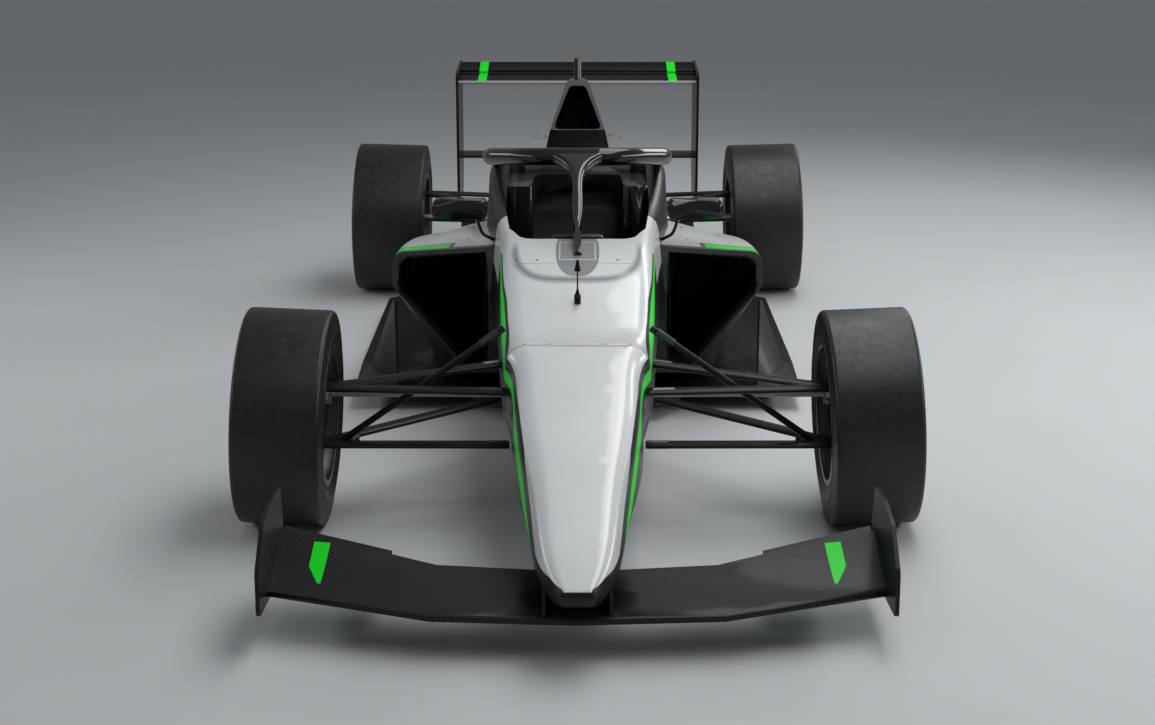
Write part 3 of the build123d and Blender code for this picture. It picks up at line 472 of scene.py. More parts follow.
def fasten(name, body, spots, head, spread=6.28):
    """The same head on every (point, direction) spot that isn't None, riding on a body."""
    spots = [spot for spot in spots if spot]
    holder = plain_mesh(name + "_rows", [tuple(p) for p, _ in spots], [], smooth=False)
    aims = holder.data.attributes.new("aim", "FLOAT_VECTOR", "POINT")
    for item, (_, way) in zip(aims.data, spots):
        item.vector = Vector(way).normalized()
    values = {"Head": head, "Metal": head.data.materials[0], "Turn Spread": spread}
    run_group(holder, rows_tree, values, name, body)


# search trees of the frame nodes' surfaces, each made when it is first needed
surfaces = {}


def touch(node, start, way):
    """The point and outward normal where a line from a start first meets a frame node, or None."""
    if node not in surfaces:
        mesh = nodes[node].data
        corners, triangles = [v.co for v in mesh.vertices], [p.vertices for p in mesh.polygons]
        surfaces[node] = BVHTree.FromPolygons(corners, triangles)
    point, normal, _, _ = surfaces[node].ray_cast(Vector(start), Vector(way))
    return (point, normal if normal.dot(Vector(way)) < 0 else -normal) if point else None


def drop(node, x, back, from_z=1.5):
    """The point and normal where a vertical line from above first meets a frame node."""
    return touch(node, (x, front_axle + back, from_z), (0, 0, -1))


def handled(name, colour, rough, metal, scale, smooth, dull):
    """A finish of one colour, handled smoother and duller in patches of this scale."""
    finish = Finish(name, colour, rough, metal)
    finish.worn(finish.noise(scale), smooth, dull)
    return finish


screw_steel = handled("screw_steel", (0.34, 0.34, 0.335), 0.32, 1.0, 700.0, 0.24, 0.44)
small_screw = socket_screw("small_screw", 0.0045, 0.0016, screw_steel)
smooth_copy("survival_cell", "chassis", cell_finish)
# distance behind the front axle and distance from the middle line
panel_screws = ((-0.035, 0.132), (-0.035, 0.07), (0.43, 0.165), (0.43, 0.11))
spots = [drop("survival_cell", sign * half, back) for back, half in panel_screws for sign in (1, -1)]
fasten("cell_panel_screws", "chassis", spots, small_screw)

# ---------------------------------------------------------------- nose box
# Carbon crash structure bolted to the front of the tub, in the same lacquer, on two pylons
# that carry the front wing.
smooth_copy("nose_box", "chassis", cell_finish)


# ---------------------------------------------------------------- front wing
# One broad carbon plane with a small tucked flap on each side, clear coated over two by two
# twill. A green slash is painted near each end, and screws hold the endplates.
carbon_dark, carbon_light = (0.006, 0.0063, 0.007), (0.028, 0.030, 0.033)


def weave_finish(name, thread=0.0030, dark=carbon_dark, light=carbon_light, coat=0.10, spec=0.14):
    """Clear coated carbon twill: strands alternate in tone and sheen, with dust in the lacquer."""
    finish = Finish(name, dark, 0.42, 0.0, coat=coat, coat_rough=0.10, spec=spec)
    over, crown = finish.twill(thread)
    tone = finish.times(finish.span(over, 0.0, 1.0, 0.35, 1.0), finish.span(crown, 0.0, 0.5, 0.6, 1.0))
    finish.cloth = finish.mix(tone, dark, light)
    finish.set("Base Color", finish.cloth)
    dust = finish.span(finish.noise(60.0, 4.0), 0.3, 0.8, 0.0, 0.08)
    finish.set("Roughness", finish.plus(finish.span(over, 0.0, 1.0, 0.30, 0.42), dust))
    finish.bump(crown, 0.00012, 0.35)
    return finish


wing_weave = weave_finish("wing_twill", 0.0036)
f = wing_weave
side = f.size(f.x)
back = f.minus(f.y, front_axle)
# the slash lies between an inner and an outer edge that lean in towards the rear, and is cut off at a slant
slash_front, slash_rear = -0.762, -0.616
inner_edge = f.minus(0.5347, f.times(back, 0.0405))
outer_edge = f.minus(0.5743, f.times(back, 0.035))
cut_edge = f.plus(0.8768, f.times(back, 0.400))
within = f.math("LESS_THAN", side, f.math("MINIMUM", outer_edge, cut_edge))
slash = f.times(f.math("GREATER_THAN", side, inner_edge), within)
slash = f.times(slash, f.band(back, slash_front, slash_rear, paint_edge))
f.set("Base Color", f.mix(slash, f.cloth, green))
smooth_copy("front_wing", "chassis", wing_weave, 24)
weave = weave_finish("carbon_twill")
edge_weave = weave_finish("endplate_twill", dark=(0.005, 0.005, 0.006), light=(0.018, 0.019, 0.021))
endplate_face = 0.6852
# distance behind the front axle and height
endplate_screws = ((-0.86, 0.118), (-0.80, 0.125), (-0.72, 0.136), (-0.64, 0.150), (-0.60, 0.166))
for hand, sign in hands:
    smooth_copy("front_wing_endplate_" + hand, "chassis", edge_weave, 24)
    spots = [((sign * endplate_face, front_axle + back, z), (sign, 0, 0)) for back, z in endplate_screws]
    fasten("endplate_screws_" + hand, "chassis", spots, small_screw)


# ---------------------------------------------------------------- halo
# Tubular head guard with a slim strut, in gloss black over its fairings. It is bolted to the
# tub at three feet.
def black_lacquer(name, colour=(0.006, 0.006, 0.0075), rough=0.30, coat=0.80, spec=0.10, coat_rough=0.04):
    """Black lacquer over a hand laid shell: a slow wave in its surface and a little settled dust."""
    finish = Finish(name, colour, rough, 0.0, coat=coat, coat_rough=coat_rough, spec=spec)
    dust = finish.noise(24.0, 3.0, 0.5)
    finish.shades(finish.span(dust, 0.40, 0.80), colour, tuple(c * 1.25 for c in colour))
    finish.set("Roughness", finish.span(dust, 0.3, 0.8, rough, rough + 0.04))
    finish.wave = finish.bump(finish.noise(7.0, 1.0), 0.0012, 0.3)
    return finish


smooth_copy("halo", "chassis", black_lacquer("halo_lacquer", coat=1.0), 40)
big_screw = socket_screw("big_screw", 0.0075, 0.004, screw_steel)
foot_half, foot_screws = 0.246, (1.452, 1.549)
spots = [drop("survival_cell", sign * foot_half, back) for sign in (1, -1) for back in foot_screws]
fasten("halo_foot_screws", "chassis", spots, big_screw)

# ---------------------------------------------------------------- head pads and seat
# Energy absorbing moulded blocks with a smooth black skin stand each side of the driver's head,
# dull where their collar meets the engine cover. The seat is a bare carbon bucket.
collar_start = 1.436
vinyl = Finish("pad_vinyl", (0.012, 0.012, 0.013), 0.34, 0.0, coat=0.6, coat_rough=0.10, spec=0.2)
grain = vinyl.add("TexVoronoi", Vector=vinyl.place, Scale=650.0).outputs[0]
folds = vinyl.noise(24.0, 5.0, 0.6)
collar = vinyl.span(vinyl.minus(vinyl.y, front_axle), collar_start, collar_start + 0.005)
moulded = vinyl.mix(vinyl.span(folds, 0.3, 0.75), (0.009, 0.009, 0.010), (0.017, 0.017, 0.019))
vinyl.set("Base Color", vinyl.mix(collar, moulded, (0.005, 0.005, 0.006)))
vinyl.set("Roughness", vinyl.plus(vinyl.span(grain, 0.0, 0.6, 0.28, 0.42), vinyl.times(collar, 0.3)))
vinyl.set("Coat Weight", vinyl.span(collar, 0.0, 1.0, 0.6, 0.0))
vinyl.bump(grain, 0.00015, 0.4, under=vinyl.bump(folds, 0.001, 0.3))
smooth_copy("headrest", "chassis", vinyl, 30)
seat_dark, seat_light = (0.006, 0.006, 0.007), (0.010, 0.0105, 0.012)
seat_weave = weave_finish("seat_twill", dark=seat_dark, light=seat_light, coat=0.0, spec=0.04)
smooth_copy("seat", "chassis", seat_weave, 30)

# ---------------------------------------------------------------- steering column and hand wheel
# Steel column with a quick release, and a carbon hand wheel: a flat plate with a screen, rows of
# buttons and turning knobs, shift paddles behind it, and rubber grips at its sides.
steel = Finish("machined_steel", (0.40, 0.40, 0.39), 0.34, 1.0)
steel.worn(steel.noise(90.0, 4.0, stretch=(1.0, 1.0, 6.0)), 0.24, 0.46)
steel.shades(steel.noise(14.0, 4.0), (0.36, 0.36, 0.355), (0.44, 0.44, 0.43))
smooth_copy("steering_column", "chassis", steel)
column_from, hand_centre = Vector((0, front_axle + 0.300, 0.410)), Vector((0, front_axle + 0.740, 0.525))
column_way = (hand_centre - column_from).normalized()
hand_centre += column_way * 0.011
wheel_up = column_way.cross(Vector((1, 0, 0))).normalized()
if wheel_up.z < 0:
    wheel_up = -wheel_up


def on_wheel(x, up, out):
    """A point of the hand wheel: across, up its face and out of it towards the driver."""
    return hand_centre + Vector((x, 0, 0)) + wheel_up * up + column_way * out


def outward(piece, angle, gap=0.0):
    """Turns a closed piece's faces outwards, its points welded where they are closer than the gap."""
    work = bmesh.new()
    work.from_mesh(piece.data)
    if gap:
        bmesh.ops.remove_doubles(work, verts=work.verts, dist=gap)
    bmesh.ops.recalc_face_normals(work, faces=work.faces)
    work.to_mesh(piece.data)
    work.free()
    piece.data.shade_smooth()
    piece.data.set_sharp_from_angle(angle=radians(angle))
    return piece


def slab(name, outline, place, low, high, bevel=0.001):
    """A closed plate from an outline of (u, v) points, between two levels, with bevelled rims."""
    middle_u = sum(p[0] for p in outline) / len(outline)
    middle_v = sum(p[1] for p in outline) / len(outline)
    levels = ((low, 1), (low + bevel, 0), (high - bevel, 0), (high, 1))
    points = []
    for level, pulled in levels:
        for u, v in outline:
            out_u, out_v = u - middle_u, v - middle_v
            keep = 1.0 - pulled * bevel / (sqrt(out_u ** 2 + out_v ** 2) or 1.0)
            points.append(tuple(place(middle_u + out_u * keep, middle_v + out_v * keep, level)))
    return outward(plain_mesh(name, points, capped(len(outline), len(levels) - 1)), 30)


def rounded(corners, steps, closed=False):
    """Corner points (u, v, radius) as a polyline with its corners rounded by arcs."""
    line = []
    count = len(corners)
    for i, (u, v, radius) in enumerate(corners):
        here = Vector((u, v))
        before = Vector(corners[i - 1][:2]) - here
        after = Vector(corners[(i + 1) % count][:2]) - here
        half = before.angle(after, 0.0) / 2
        sweep = pi - 2 * half
        if radius <= 0 or sweep < 0.01 or (not closed and i in (0, count - 1)):
            line.append(here)
            continue
        reach = min(radius / sin(half) * cos(half), 0.48 * before.length, 0.48 * after.length)
        radius = reach * sin(half) / cos(half)
        centre = here + (before.normalized() + after.normalized()).normalized() * radius / sin(half)
        start, end = here + before.normalized() * reach - centre, here + after.normalized() * reach - centre
        for k in range(steps + 1):
            t = k / steps
            line.append(centre + (start * sin((1 - t) * sweep) + end * sin(t * sweep)) / sin(sweep))
    return line


def tablet(half_u, half_v, radius, steps, middle=(0.0, 0.0)):
    """Outline of a rectangle with round corners."""
    corners = [(i * half_u, j * half_v, radius) for i, j in ((-1, -1), (1, -1), (1, 1), (-1, 1))]
    return [(middle[0] + p[0], middle[1] + p[1]) for p in rounded(corners, steps, True)]


def swept(name, path, outline):
    """An outline of (u, v) points carried along a path without twisting, closed at its ends."""
    path = [Vector(p) for p in path]
    points = []
    side_way = (path[1] - path[0]).cross(Vector((0, 0, 1)))
    for i, here in enumerate(path):
        way = (path[min(i + 1, len(path) - 1)] - path[max(i - 1, 0)]).normalized()
        side_way = (side_way - way * side_way.dot(way)).normalized()
        other = side_way.cross(way)
        points += [tuple(here + side_way * u + other * v) for u, v in outline]
    return outward(plain_mesh(name, points, capped(len(outline), len(path) - 1)), 40)


plate_half, face_level = 0.009, 0.0095
plate_corners = [
    (-0.091, -0.049, 0.016), (-0.060, -0.077, 0.016), (0.060, -0.077, 0.016), (0.091, -0.049, 0.016),
    (0.091, 0.040, 0.016), (0.070, 0.081, 0.016), (-0.070, 0.081, 0.016), (-0.091, 0.040, 0.016),
]
wheel_weave = weave_finish("hand_wheel_twill", 0.0022, (0.008, 0.008, 0.009), (0.03, 0.031, 0.034), 0.3, 0.35)
plate = slab("hand_wheel_plate", rounded(plate_corners, 5, True), on_wheel, -plate_half, plate_half, 0.002)
dress(plate, wheel_weave, "hand_wheel", "steering_wheel")
grip_rubber = Finish("grip_rubber", (0.022, 0.022, 0.024), 0.7)
ribs = grip_rubber.add("TexVoronoi", Vector=grip_rubber.place, Scale=420.0).outputs[0]
grip_rubber.shades(ribs, (0.016, 0.016, 0.017), (0.04, 0.04, 0.042))
grip_rubber.bump(ribs, 0.0004, 0.8)
grip_corners = (
    (0.076, -0.054, 0.018), (0.104, -0.054, 0.02), (0.106, 0.0, 0.05), (0.104, 0.054, 0.02),
    (0.078, 0.054, 0.018),
)
paddle_corners = (
    (0.045, -0.012, 0.004), (0.098, -0.020, 0.008), (0.098, 0.030, 0.008), (0.045, 0.022, 0.004),
)
post_x, post_up = 0.056, 0.005
for hand, sign in hands:
    line = [on_wheel(sign * x, up, 0) for x, up in rounded(grip_corners, 8)]
    dress(swept("hand_wheel_grip_" + hand, line, ring(0.0150, 18)), grip_rubber, "hand_wheel")
    outline = rounded([(sign * u, v, radius) for u, v, radius in paddle_corners], 4, True)
    dress(slab("shift_paddle_" + hand, outline, on_wheel, -0.024, -0.021, 0.0008), wheel_weave, "hand_wheel")
    line = [on_wheel(sign * post_x, post_up, out) for out in (-0.022, -0.004)]
    dress(swept("paddle_post_" + hand, line, ring(0.005)), steel, "hand_wheel")
screen_glass = Finish("screen_glass", (0.012, 0.014, 0.018), 0.08, 0.0, coat=1.0, coat_rough=0.02)
screen_glass.shades(screen_glass.noise(9.0, 2.0), (0.010, 0.012, 0.015), (0.016, 0.020, 0.026))
outline = tablet(0.046, 0.026, 0.004, 4, (0.0, 0.020))
dress(slab("hand_wheel_screen", outline, on_wheel, 0.008, 0.0115, 0.0012), screen_glass, "hand_wheel")
# tone, colour and places (across, up the face)
buttons = (
    ("red", (0.55, 0.02, 0.02), ((-0.070, 0.040), (0.070, -0.030))),
    ("amber", (0.7, 0.3, 0.01), ((-0.070, 0.018), (0.034, -0.022))),
    ("blue", (0.02, 0.10, 0.5), ((0.070, 0.040), (-0.034, -0.022))),
    ("pale", (0.5, 0.5, 0.5), ((0.070, 0.018), (-0.070, -0.030), (0.0, -0.022))),
)
for tone, colour, places in buttons:
    cap = handled("button_" + tone, colour, 0.4, 0.0, 500.0, 0.32, 0.5)
    button = socket_screw("button_shape_" + tone, 0.0062, 0.0035, cap)
    spots = [(on_wheel(x, up, face_level), column_way) for x, up in places]
    fasten("wheel_buttons_" + tone, "hand_wheel", spots, button, 0.0)
knob_finish = handled("knob_plastic", (0.03, 0.03, 0.033), 0.45, 0.0, 500.0, 0.36, 0.55)
knob = socket_screw("knob_shape", 0.0095, 0.0075, knob_finish, 12)
knob_up, knob_row = -0.046, (-0.040, 0.0, 0.040)
spots = [(on_wheel(x, knob_up, face_level), column_way) for x in knob_row]
fasten("wheel_knobs", "hand_wheel", spots, knob, 0.0)
hub_line = [on_wheel(0, 0, out) for out in (-0.048, -0.040, -0.012, -0.008)]
dress(swept("quick_release", hub_line, ring(0.022, 32)), steel, "hand_wheel")

# ---------------------------------------------------------------- engine cover
# Gloss black cover with the air intake standing over the driver's head. A wire screen closes the
# intake's throat, and two bent wire clips and rows of screws hold the cover.
cover_finish = black_lacquer("cover_lacquer", coat=0.7)
f = cover_finish
back = f.minus(f.y, front_axle)
seam = f.larger(f.band(back, 1.8990, 1.9006, 0.0004), f.band(f.z, 0.4192, 0.4206, 0.0004))
f.bump(seam, -0.0010, under=f.wave)
# painted highlight round the intake's mouth, and a matt collar under it with two thin pale lines of painted
# highlight along its edges
mouth_back, mouth_bottom = 1.6503, 0.7800
rim_highlight = f.before(back, mouth_back + 0.0009, mouth_back + 0.0013)
rim_highlight = f.times(rim_highlight, f.span(f.z, mouth_bottom + 0.0005, mouth_bottom + 0.0010))
throat = f.before(back, mouth_back, mouth_back + 0.0003)
throat = f.times(throat, f.before(f.z, mouth_bottom, mouth_bottom + 0.0006))
# the two thin pale lines on the collar are painted highlights
edges = f.larger(f.band(back, 1.6445, 1.6485), f.band(back, 1.6100, 1.6130))
colour = f.mix(f.times(throat, edges), f.mix(throat, black, (0.004, 0.004, 0.005)), (0.14, 0.145, 0.15))
f.set("Base Color", f.mix(rim_highlight, colour, (0.17, 0.175, 0.18)))
f.set("Coat Weight", f.span(throat, 0.0, 1.0, 0.7, 0.0))
f.set("Roughness", f.span(throat, 0.0, 1.0, 0.32, 0.62))
smooth_copy("engine_cover", "chassis", cover_finish, 34)
wire = handled("bright_wire", (0.38, 0.38, 0.375), 0.28, 1.0, 300.0, 0.22, 0.4)
clip_back, clip_height = 1.668, 0.757
clip_out = [(0.098, 0.0, 0.0), (0.112, 0.007, 0.01), (0.136, 0.009, 0.012)]
clip_return = [(x, -z, radius) for x, z, radius in reversed(clip_out)]
clip_line = rounded(clip_out + [(0.141, 0.0, 0.008)] + clip_return, 5)
for hand, sign in hands:
    run = [(sign * x, front_axle + clip_back, clip_height + z) for x, z in clip_line]
    dress(swept("cover_clip_" + hand, run, ring(0.0013, 8)), wire, "chassis")

# flat screen between the throat's walls, 50 mm inside the mouth
screen_back, throat_low, throat_waist, throat_top = 1.700, 0.7700, 0.7900, 0.9100
waist_half, top_half = 0.068, 0.018
pitch, wire_radius = 0.0085, 0.0007
ends = []
for k in range(-8, 9):
    x = k * pitch
    top = throat_top
    if abs(x) >= top_half:
        top = throat_waist + (waist_half - abs(x)) / (waist_half - top_half) * (throat_top - throat_waist)
    if top - throat_low > 0.012:
        ends.append(((x, throat_low), (x, top)))
level = throat_low + pitch
while level < throat_top:
    half = waist_half
    if level >= throat_waist:
        half -= (level - throat_waist) / (throat_top - throat_waist) * (waist_half - top_half)
    ends.append(((-half, level), (half, level)))
    level += pitch


def wire_runs():
    """Node group: gives every edge a round wire of the Wire radius in the Metal."""
    inputs = (("Geometry", "Geometry"), ("Wire", "Float"), ("Metal", "Material"))
    tree, given, result = node_group("wire_runs", inputs)
    new, link = tree.nodes.new, tree.links.new
    line, tube = new("GeometryNodeMeshToCurve"), new("GeometryNodeCurveToMesh")
    circle = new("GeometryNodeCurvePrimitiveCircle")
    circle.inputs["Resolution"].default_value = 6
    tube.inputs["Fill Caps"].default_value = True
    link(given.outputs["Geometry"], line.inputs[0])
    link(given.outputs["Wire"], circle.inputs["Radius"])
    link(line.outputs[0], tube.inputs["Curve"])
    link(circle.outputs[0], tube.inputs["Profile Curve"])
    finish_group(tree, given, result, tube.outputs[0])
    return tree


dark_wire = handled("dark_wire", (0.012, 0.012, 0.013), 0.5, 0.6, 500.0, 0.42, 0.6)
points = [(u, front_axle + screen_back, v) for pair in ends for u, v in pair]
holder = plain_mesh("intake_screen_runs", points, [], smooth=False)
holder.data.edges.add(len(ends))
for i, edge in enumerate(holder.data.edges):
    edge.vertices = (2 * i, 2 * i + 1)
run_group(holder, wire_runs(), {"Wire": wire_radius, "Metal": dark_wire.mat}, "intake_screen", "chassis")
row_height, cover_row = 0.445, (1.62, 1.78, 1.98, 2.16, 2.34)
spots = [touch("engine_cover", (sign * 0.6, front_axle + back, row_height), (-sign, 0, 0))
         for sign in (1, -1) for back in cover_row]
fasten("cover_screws", "chassis", spots, small_screw)

# ---------------------------------------------------------------- sidepods
# Lacquered carbon pods, white above the shoulder, with a green flash on the lip of each inlet.
# A black liner leads air back to the radiator core, and screws hold the pod's lid.
pod_finish = lacquer("pod_lacquer")
f = pod_finish
lip_front, lip_edge, lip_rear = 0.90, 0.934, 1.001
flash_from, flash_front, flash_rear, flash_bottom = 0.449, 0.924, 0.994, 0.440
white_bottom, pod_rear, shoulder_fall = 0.400, 2.3, 0.10
reach_in = f.minus(f.side, f.minus(flash_from, f.times(f.back, 0.07)))
flash = f.times(f.band(f.back, flash_front, flash_rear), f.span(reach_in, -0.001, 0.001))
flash = f.times(flash, f.span(f.z, flash_bottom, flash_bottom + 0.002))
border = f.times(f.band(f.back, lip_front, lip_rear), f.span(reach_in, -0.014, -0.012))
border = f.larger(border, f.before(f.back, lip_edge, lip_edge + 0.001))
flow = f.plus(f.z, f.times(f.span(f.back, lip_front, pod_rear), shoulder_fall))
colour = f.mix(f.before(flow, white_bottom, white_bottom + 0.003), f.mix(border, f.silver, graphite), black)
f.set("Base Color", f.mix(flash, colour, green))
f.bump(f.peel, 0.00004, 0.5)
liner_finish = Finish("duct_carbon", (0.004, 0.004, 0.0045), 0.6)
liner_finish.shades(liner_finish.noise(40.0), (0.003, 0.003, 0.0035), (0.007, 0.007, 0.008))
core = Finish("radiator_core", (0.02, 0.02, 0.021), 0.5, 0.6)
fins, tubes = core.zigzag(core.x, 400.0), core.zigzag(core.z, 110.0)
core.shades(core.times(fins, core.span(tubes, 0.1, 0.2)), (0.006, 0.006, 0.006), (0.07, 0.07, 0.072))
core.bump(fins, 0.002, 0.8)
# distance, inner, floor out, waist out, shoulder out, z floor, waist, shoulder, roof
duct_rows = (
    (0.9005, 0.2735, 0.3290, 0.5340, 0.5285, 0.1740, 0.4120, 0.5000, 0.5200),
    (1.2480, 0.3015, 0.3990, 0.5340, 0.5105, 0.1420, 0.3500, 0.4605, 0.4885),
)
core_front, core_rear = 1.205, 1.240
core_corners = (
    (0.306, 0.150, 0.004), (0.394, 0.150, 0.02), (0.524, 0.350, 0.04), (0.502, 0.452, 0.02),
    (0.306, 0.478, 0.004),
)
# distance from the middle line and distance behind the front axle
pod_screws = ((0.335, 1.04), (0.46, 1.04), (0.33, 1.30), (0.44, 1.30), (0.32, 1.60), (0.41, 1.60))


def across_pod(x, z, back):
    """A point of the radiator: across, up and behind the front axle."""
    return (x, front_axle + back, z)


for hand, sign in hands:
    smooth_copy("sidepod_" + hand, "chassis", pod_finish, 30)
    loops = []
    for back, inner, floor_out, waist_out, roof_out, z_floor, z_waist, z_shoulder, z_roof in duct_rows:
        corners = [(inner, z_floor, 0.002), (floor_out, z_floor, 0.029), (waist_out, z_waist, 0.049),
                   (roof_out, z_shoulder, 0.035), (inner, z_roof, 0.002)]
        loops.append([(sign * x, front_axle + back, z) for x, z in rounded(corners, 6, True)])
    liner = plain_mesh("duct_liner_" + hand, loops[0] + loops[1], bands(len(loops[0]), 1), angle=30)
    dress(liner, liner_finish, "chassis")
    outline = [(sign * x, z) for x, z in rounded(core_corners, 5, True)]
    dress(slab("radiator_" + hand, outline, across_pod, core_front, core_rear, 0.002), core, "chassis")
    spots = [drop("sidepod_" + hand, sign * x, back) for x, back in pod_screws]
    fasten("sidepod_screws_" + hand, "chassis", spots, small_screw)

# ---------------------------------------------------------------- floor
# Flat carbon floor with a laminated skid block under the middle, held by two rows of screws.
floor_weave = weave_finish("floor_twill")
f = floor_weave
skid_top, skid_half = 0.0462, 0.1502
skid = f.times(f.math("LESS_THAN", f.z, skid_top), f.math("LESS_THAN", f.size(f.x), skid_half))
plies = f.span(f.zigzag(f.z, 900.0), 0.0, 0.5, 0.5, 1.0)
ply_grain = f.span(f.noise(30.0, 5.0, 0.6, stretch=(8.0, 1.0, 1.0)), 0.3, 0.7)
plank = f.mix(f.times(ply_grain, plies), (0.085, 0.060, 0.038), (0.17, 0.125, 0.08))
f.set("Base Color", f.mix(skid, f.cloth, plank))
smooth_copy("floor", "chassis", floor_weave, 24)
row_half, skid_row = 0.115, (0.96, 1.25, 1.55, 1.85, 2.15, 2.45, 2.74)
spots = [touch("floor", (sign * row_half, front_axle + back, -0.5), (0, 0, 1))
         for sign in (1, -1) for back in skid_row]
fasten("skid_screws", "chassis", spots, big_screw)

# ---------------------------------------------------------------- rear wing
# Black main plane with a painted highlight along its leading edge, and flap, between thin
# screwed endplates, with two green stripes, over a lower beam wing in bare carbon.
wing_black = black_lacquer("wing_lacquer", (0.005, 0.005, 0.0065), 0.36, 0.04, 0.08, 0.1)
f = wing_black
wing_front = 3.0128
stripe = f.band(f.size(f.x), 0.363, 0.397, paint_edge)
# a thin pale band along the leading edge: a painted highlight
strip = f.before(f.minus(f.y, front_axle), wing_front, wing_front + 0.0003)
painted = f.mix(stripe, f.mix(f.noise(3.0), (0.005, 0.005, 0.006), (0.007, 0.007, 0.008)), green)
f.set("Base Color", f.mix(strip, painted, (0.42, 0.43, 0.44)))
smooth_copy("rear_wing", "chassis", wing_black, 24)
plate_black = black_lacquer("endplate_lacquer", (0.008, 0.0085, 0.010), 0.34, 0.15, 0.1, 0.1)
smooth_copy("beam_wing", "chassis", weave, 24)
# distance behind the front axle and height
rear_plate_screws = (
    (3.05, 0.795), (3.11, 0.790), (3.17, 0.795), (3.225, 0.815), (3.075, 0.470), (3.135, 0.470),
)
for hand, sign in hands:
    node = "rear_wing_endplate_" + hand
    smooth_copy(node, "chassis", plate_black, 24)
    spots = [touch(node, (sign * 0.7, front_axle + back, z), (-sign, 0, 0)) for back, z in rear_plate_screws]
    fasten("rear_endplate_screws_" + hand, "chassis", spots, small_screw)

# ---------------------------------------------------------------- gearbox, engine and exhaust
# Cast light alloy gearbox behind a plain iron block, with a crash structure, a heat tinted
# exhaust pipe and a red rain light in a screwed case.
cast = Finish("cast_alloy", (0.30, 0.31, 0.32), 0.5, 0.9)
pits = cast.noise(220.0, 4.0, 0.6)
cast.shades(cast.noise(12.0, 4.0), (0.24, 0.25, 0.26), (0.34, 0.35, 0.36))
cast.worn(pits, 0.42, 0.62)
cast.bump(pits, 0.0004, 0.5)
smooth_copy("gearbox", "chassis", cast)
iron = Finish("engine_iron", (0.12, 0.12, 0.125), 0.55, 0.7)
iron.bump(iron.noise(180.0, 4.0), 0.0005, 0.5)
iron.shades(iron.noise(15.0), (0.09, 0.09, 0.095), (0.15, 0.15, 0.155))
smooth_copy("engine", "chassis", iron)
hot = Finish("exhaust_steel", (0.4, 0.36, 0.32), 0.3, 1.0)
hot.shades(hot.span(hot.noise(7.0, 3.0), 0.35, 0.7), (0.42, 0.38, 0.33), (0.22, 0.16, 0.20))
hot.worn(hot.noise(120.0), 0.24, 0.42)
smooth_copy("exhaust", "chassis", hot)

lens = Finish("lamp_lens", (0.36, 0.008, 0.010), 0.12, 0.0, coat=1.0, coat_rough=0.04)
cells = lens.larger(lens.zigzag(lens.x, 125.0), lens.zigzag(lens.z, 125.0))
lens.shades(lens.span(cells, 0.38, 0.46), (0.42, 0.010, 0.012), (0.12, 0.004, 0.005))
lens.bump(lens.span(cells, 0.30, 0.48), 0.0006, 0.6)
lamp_case = handled("lamp_case", (0.014, 0.014, 0.015), 0.5, 0.0, 400.0, 0.42, 0.58)
lamp_middle, lamp_back = 0.318, front_axle + 3.230


def on_tail(u, v, level):
    """A point of the rain light: across, up and out to the rear."""
    return (u, lamp_back + level, lamp_middle + v)


case = slab("rain_light_case", tablet(0.038, 0.034, 0.008, 5), on_tail, -0.002, 0.012, 0.0015)
dress(case, lamp_case, "chassis")
window = slab("rain_light_lens", tablet(0.032, 0.028, 0.005, 5), on_tail, 0.010, 0.0155, 0.0015)
dress(window, lens, "chassis")
spots = [(on_tail(u, v, 0.0118), (0, 1, 0)) for u in (-0.0348, 0.0348) for v in (-0.0305, 0.0305)]
fasten("tail_screws", "chassis", spots, socket_screw("tiny_screw", 0.0022, 0.001, screw_steel, 18))

# ---------------------------------------------------------------- mirrors and probe
# Gloss black mirror housings on bent stalks with glass facing the driver, and a pressure probe
# with a gilt flange and black head on the tub.
mirror_black = black_lacquer("mirror_lacquer", coat=0.9)
glass = Finish("mirror_glass", (0.75, 0.77, 0.78), 0.03, 1.0)
glass.set("Roughness", glass.span(glass.noise(30.0, 5.0), 0.5, 0.9, 0.03, 0.12))
glass_x, glass_z = 0.350, 0.642


def upright_plate(x, z, y):
    """A point of a plate that faces along the car: across, up and along."""
    return (x, y, z)


for hand, sign in hands:
    smooth_copy("mirror_" + hand, "chassis", mirror_black, 34)
    housing_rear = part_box("mirror_" + hand)[1][1]
    outline = tablet(0.073, 0.022, 0.016, 6, (sign * glass_x, glass_z))
    levels = (housing_rear - 0.001, housing_rear + 0.0015)
    dress(slab("mirror_glass_" + hand, outline, upright_plate, *levels, 0.0008), glass, "chassis")
probe_finish = Finish("probe_metal", (0.5, 0.5, 0.5), 0.3, 1.0)
f = probe_finish
flange_top = 0.5272
f.shades(f.span(f.z, flange_top, flange_top + 0.0002), (0.62, 0.42, 0.12), (0.02, 0.02, 0.022))
f.worn(f.noise(600.0), 0.22, 0.4)
smooth_copy("pressure_probe", "chassis", probe_finish)

# ---------------------------------------------------------------- suspension
# Carbon wishbones, pushrods and toe links with dark steel end fittings, on machined uprights.
# The rack's track rods are steel.
alloy = Finish("machined_alloy", (0.42, 0.43, 0.44), 0.36, 1.0)
alloy.worn(alloy.noise(140.0, 4.0, stretch=(1.0, 4.0, 1.0)), 0.28, 0.48)
alloy.shades(alloy.noise(16.0, 4.0), (0.36, 0.37, 0.38), (0.46, 0.47, 0.48))
link_weave = weave_finish("link_twill", dark=(0.006, 0.006, 0.007), light=(0.022, 0.023, 0.025))
fitting_steel = handled("fitting_steel", (0.11, 0.11, 0.112), 0.3, 1.0, 420.0, 0.22, 0.42)
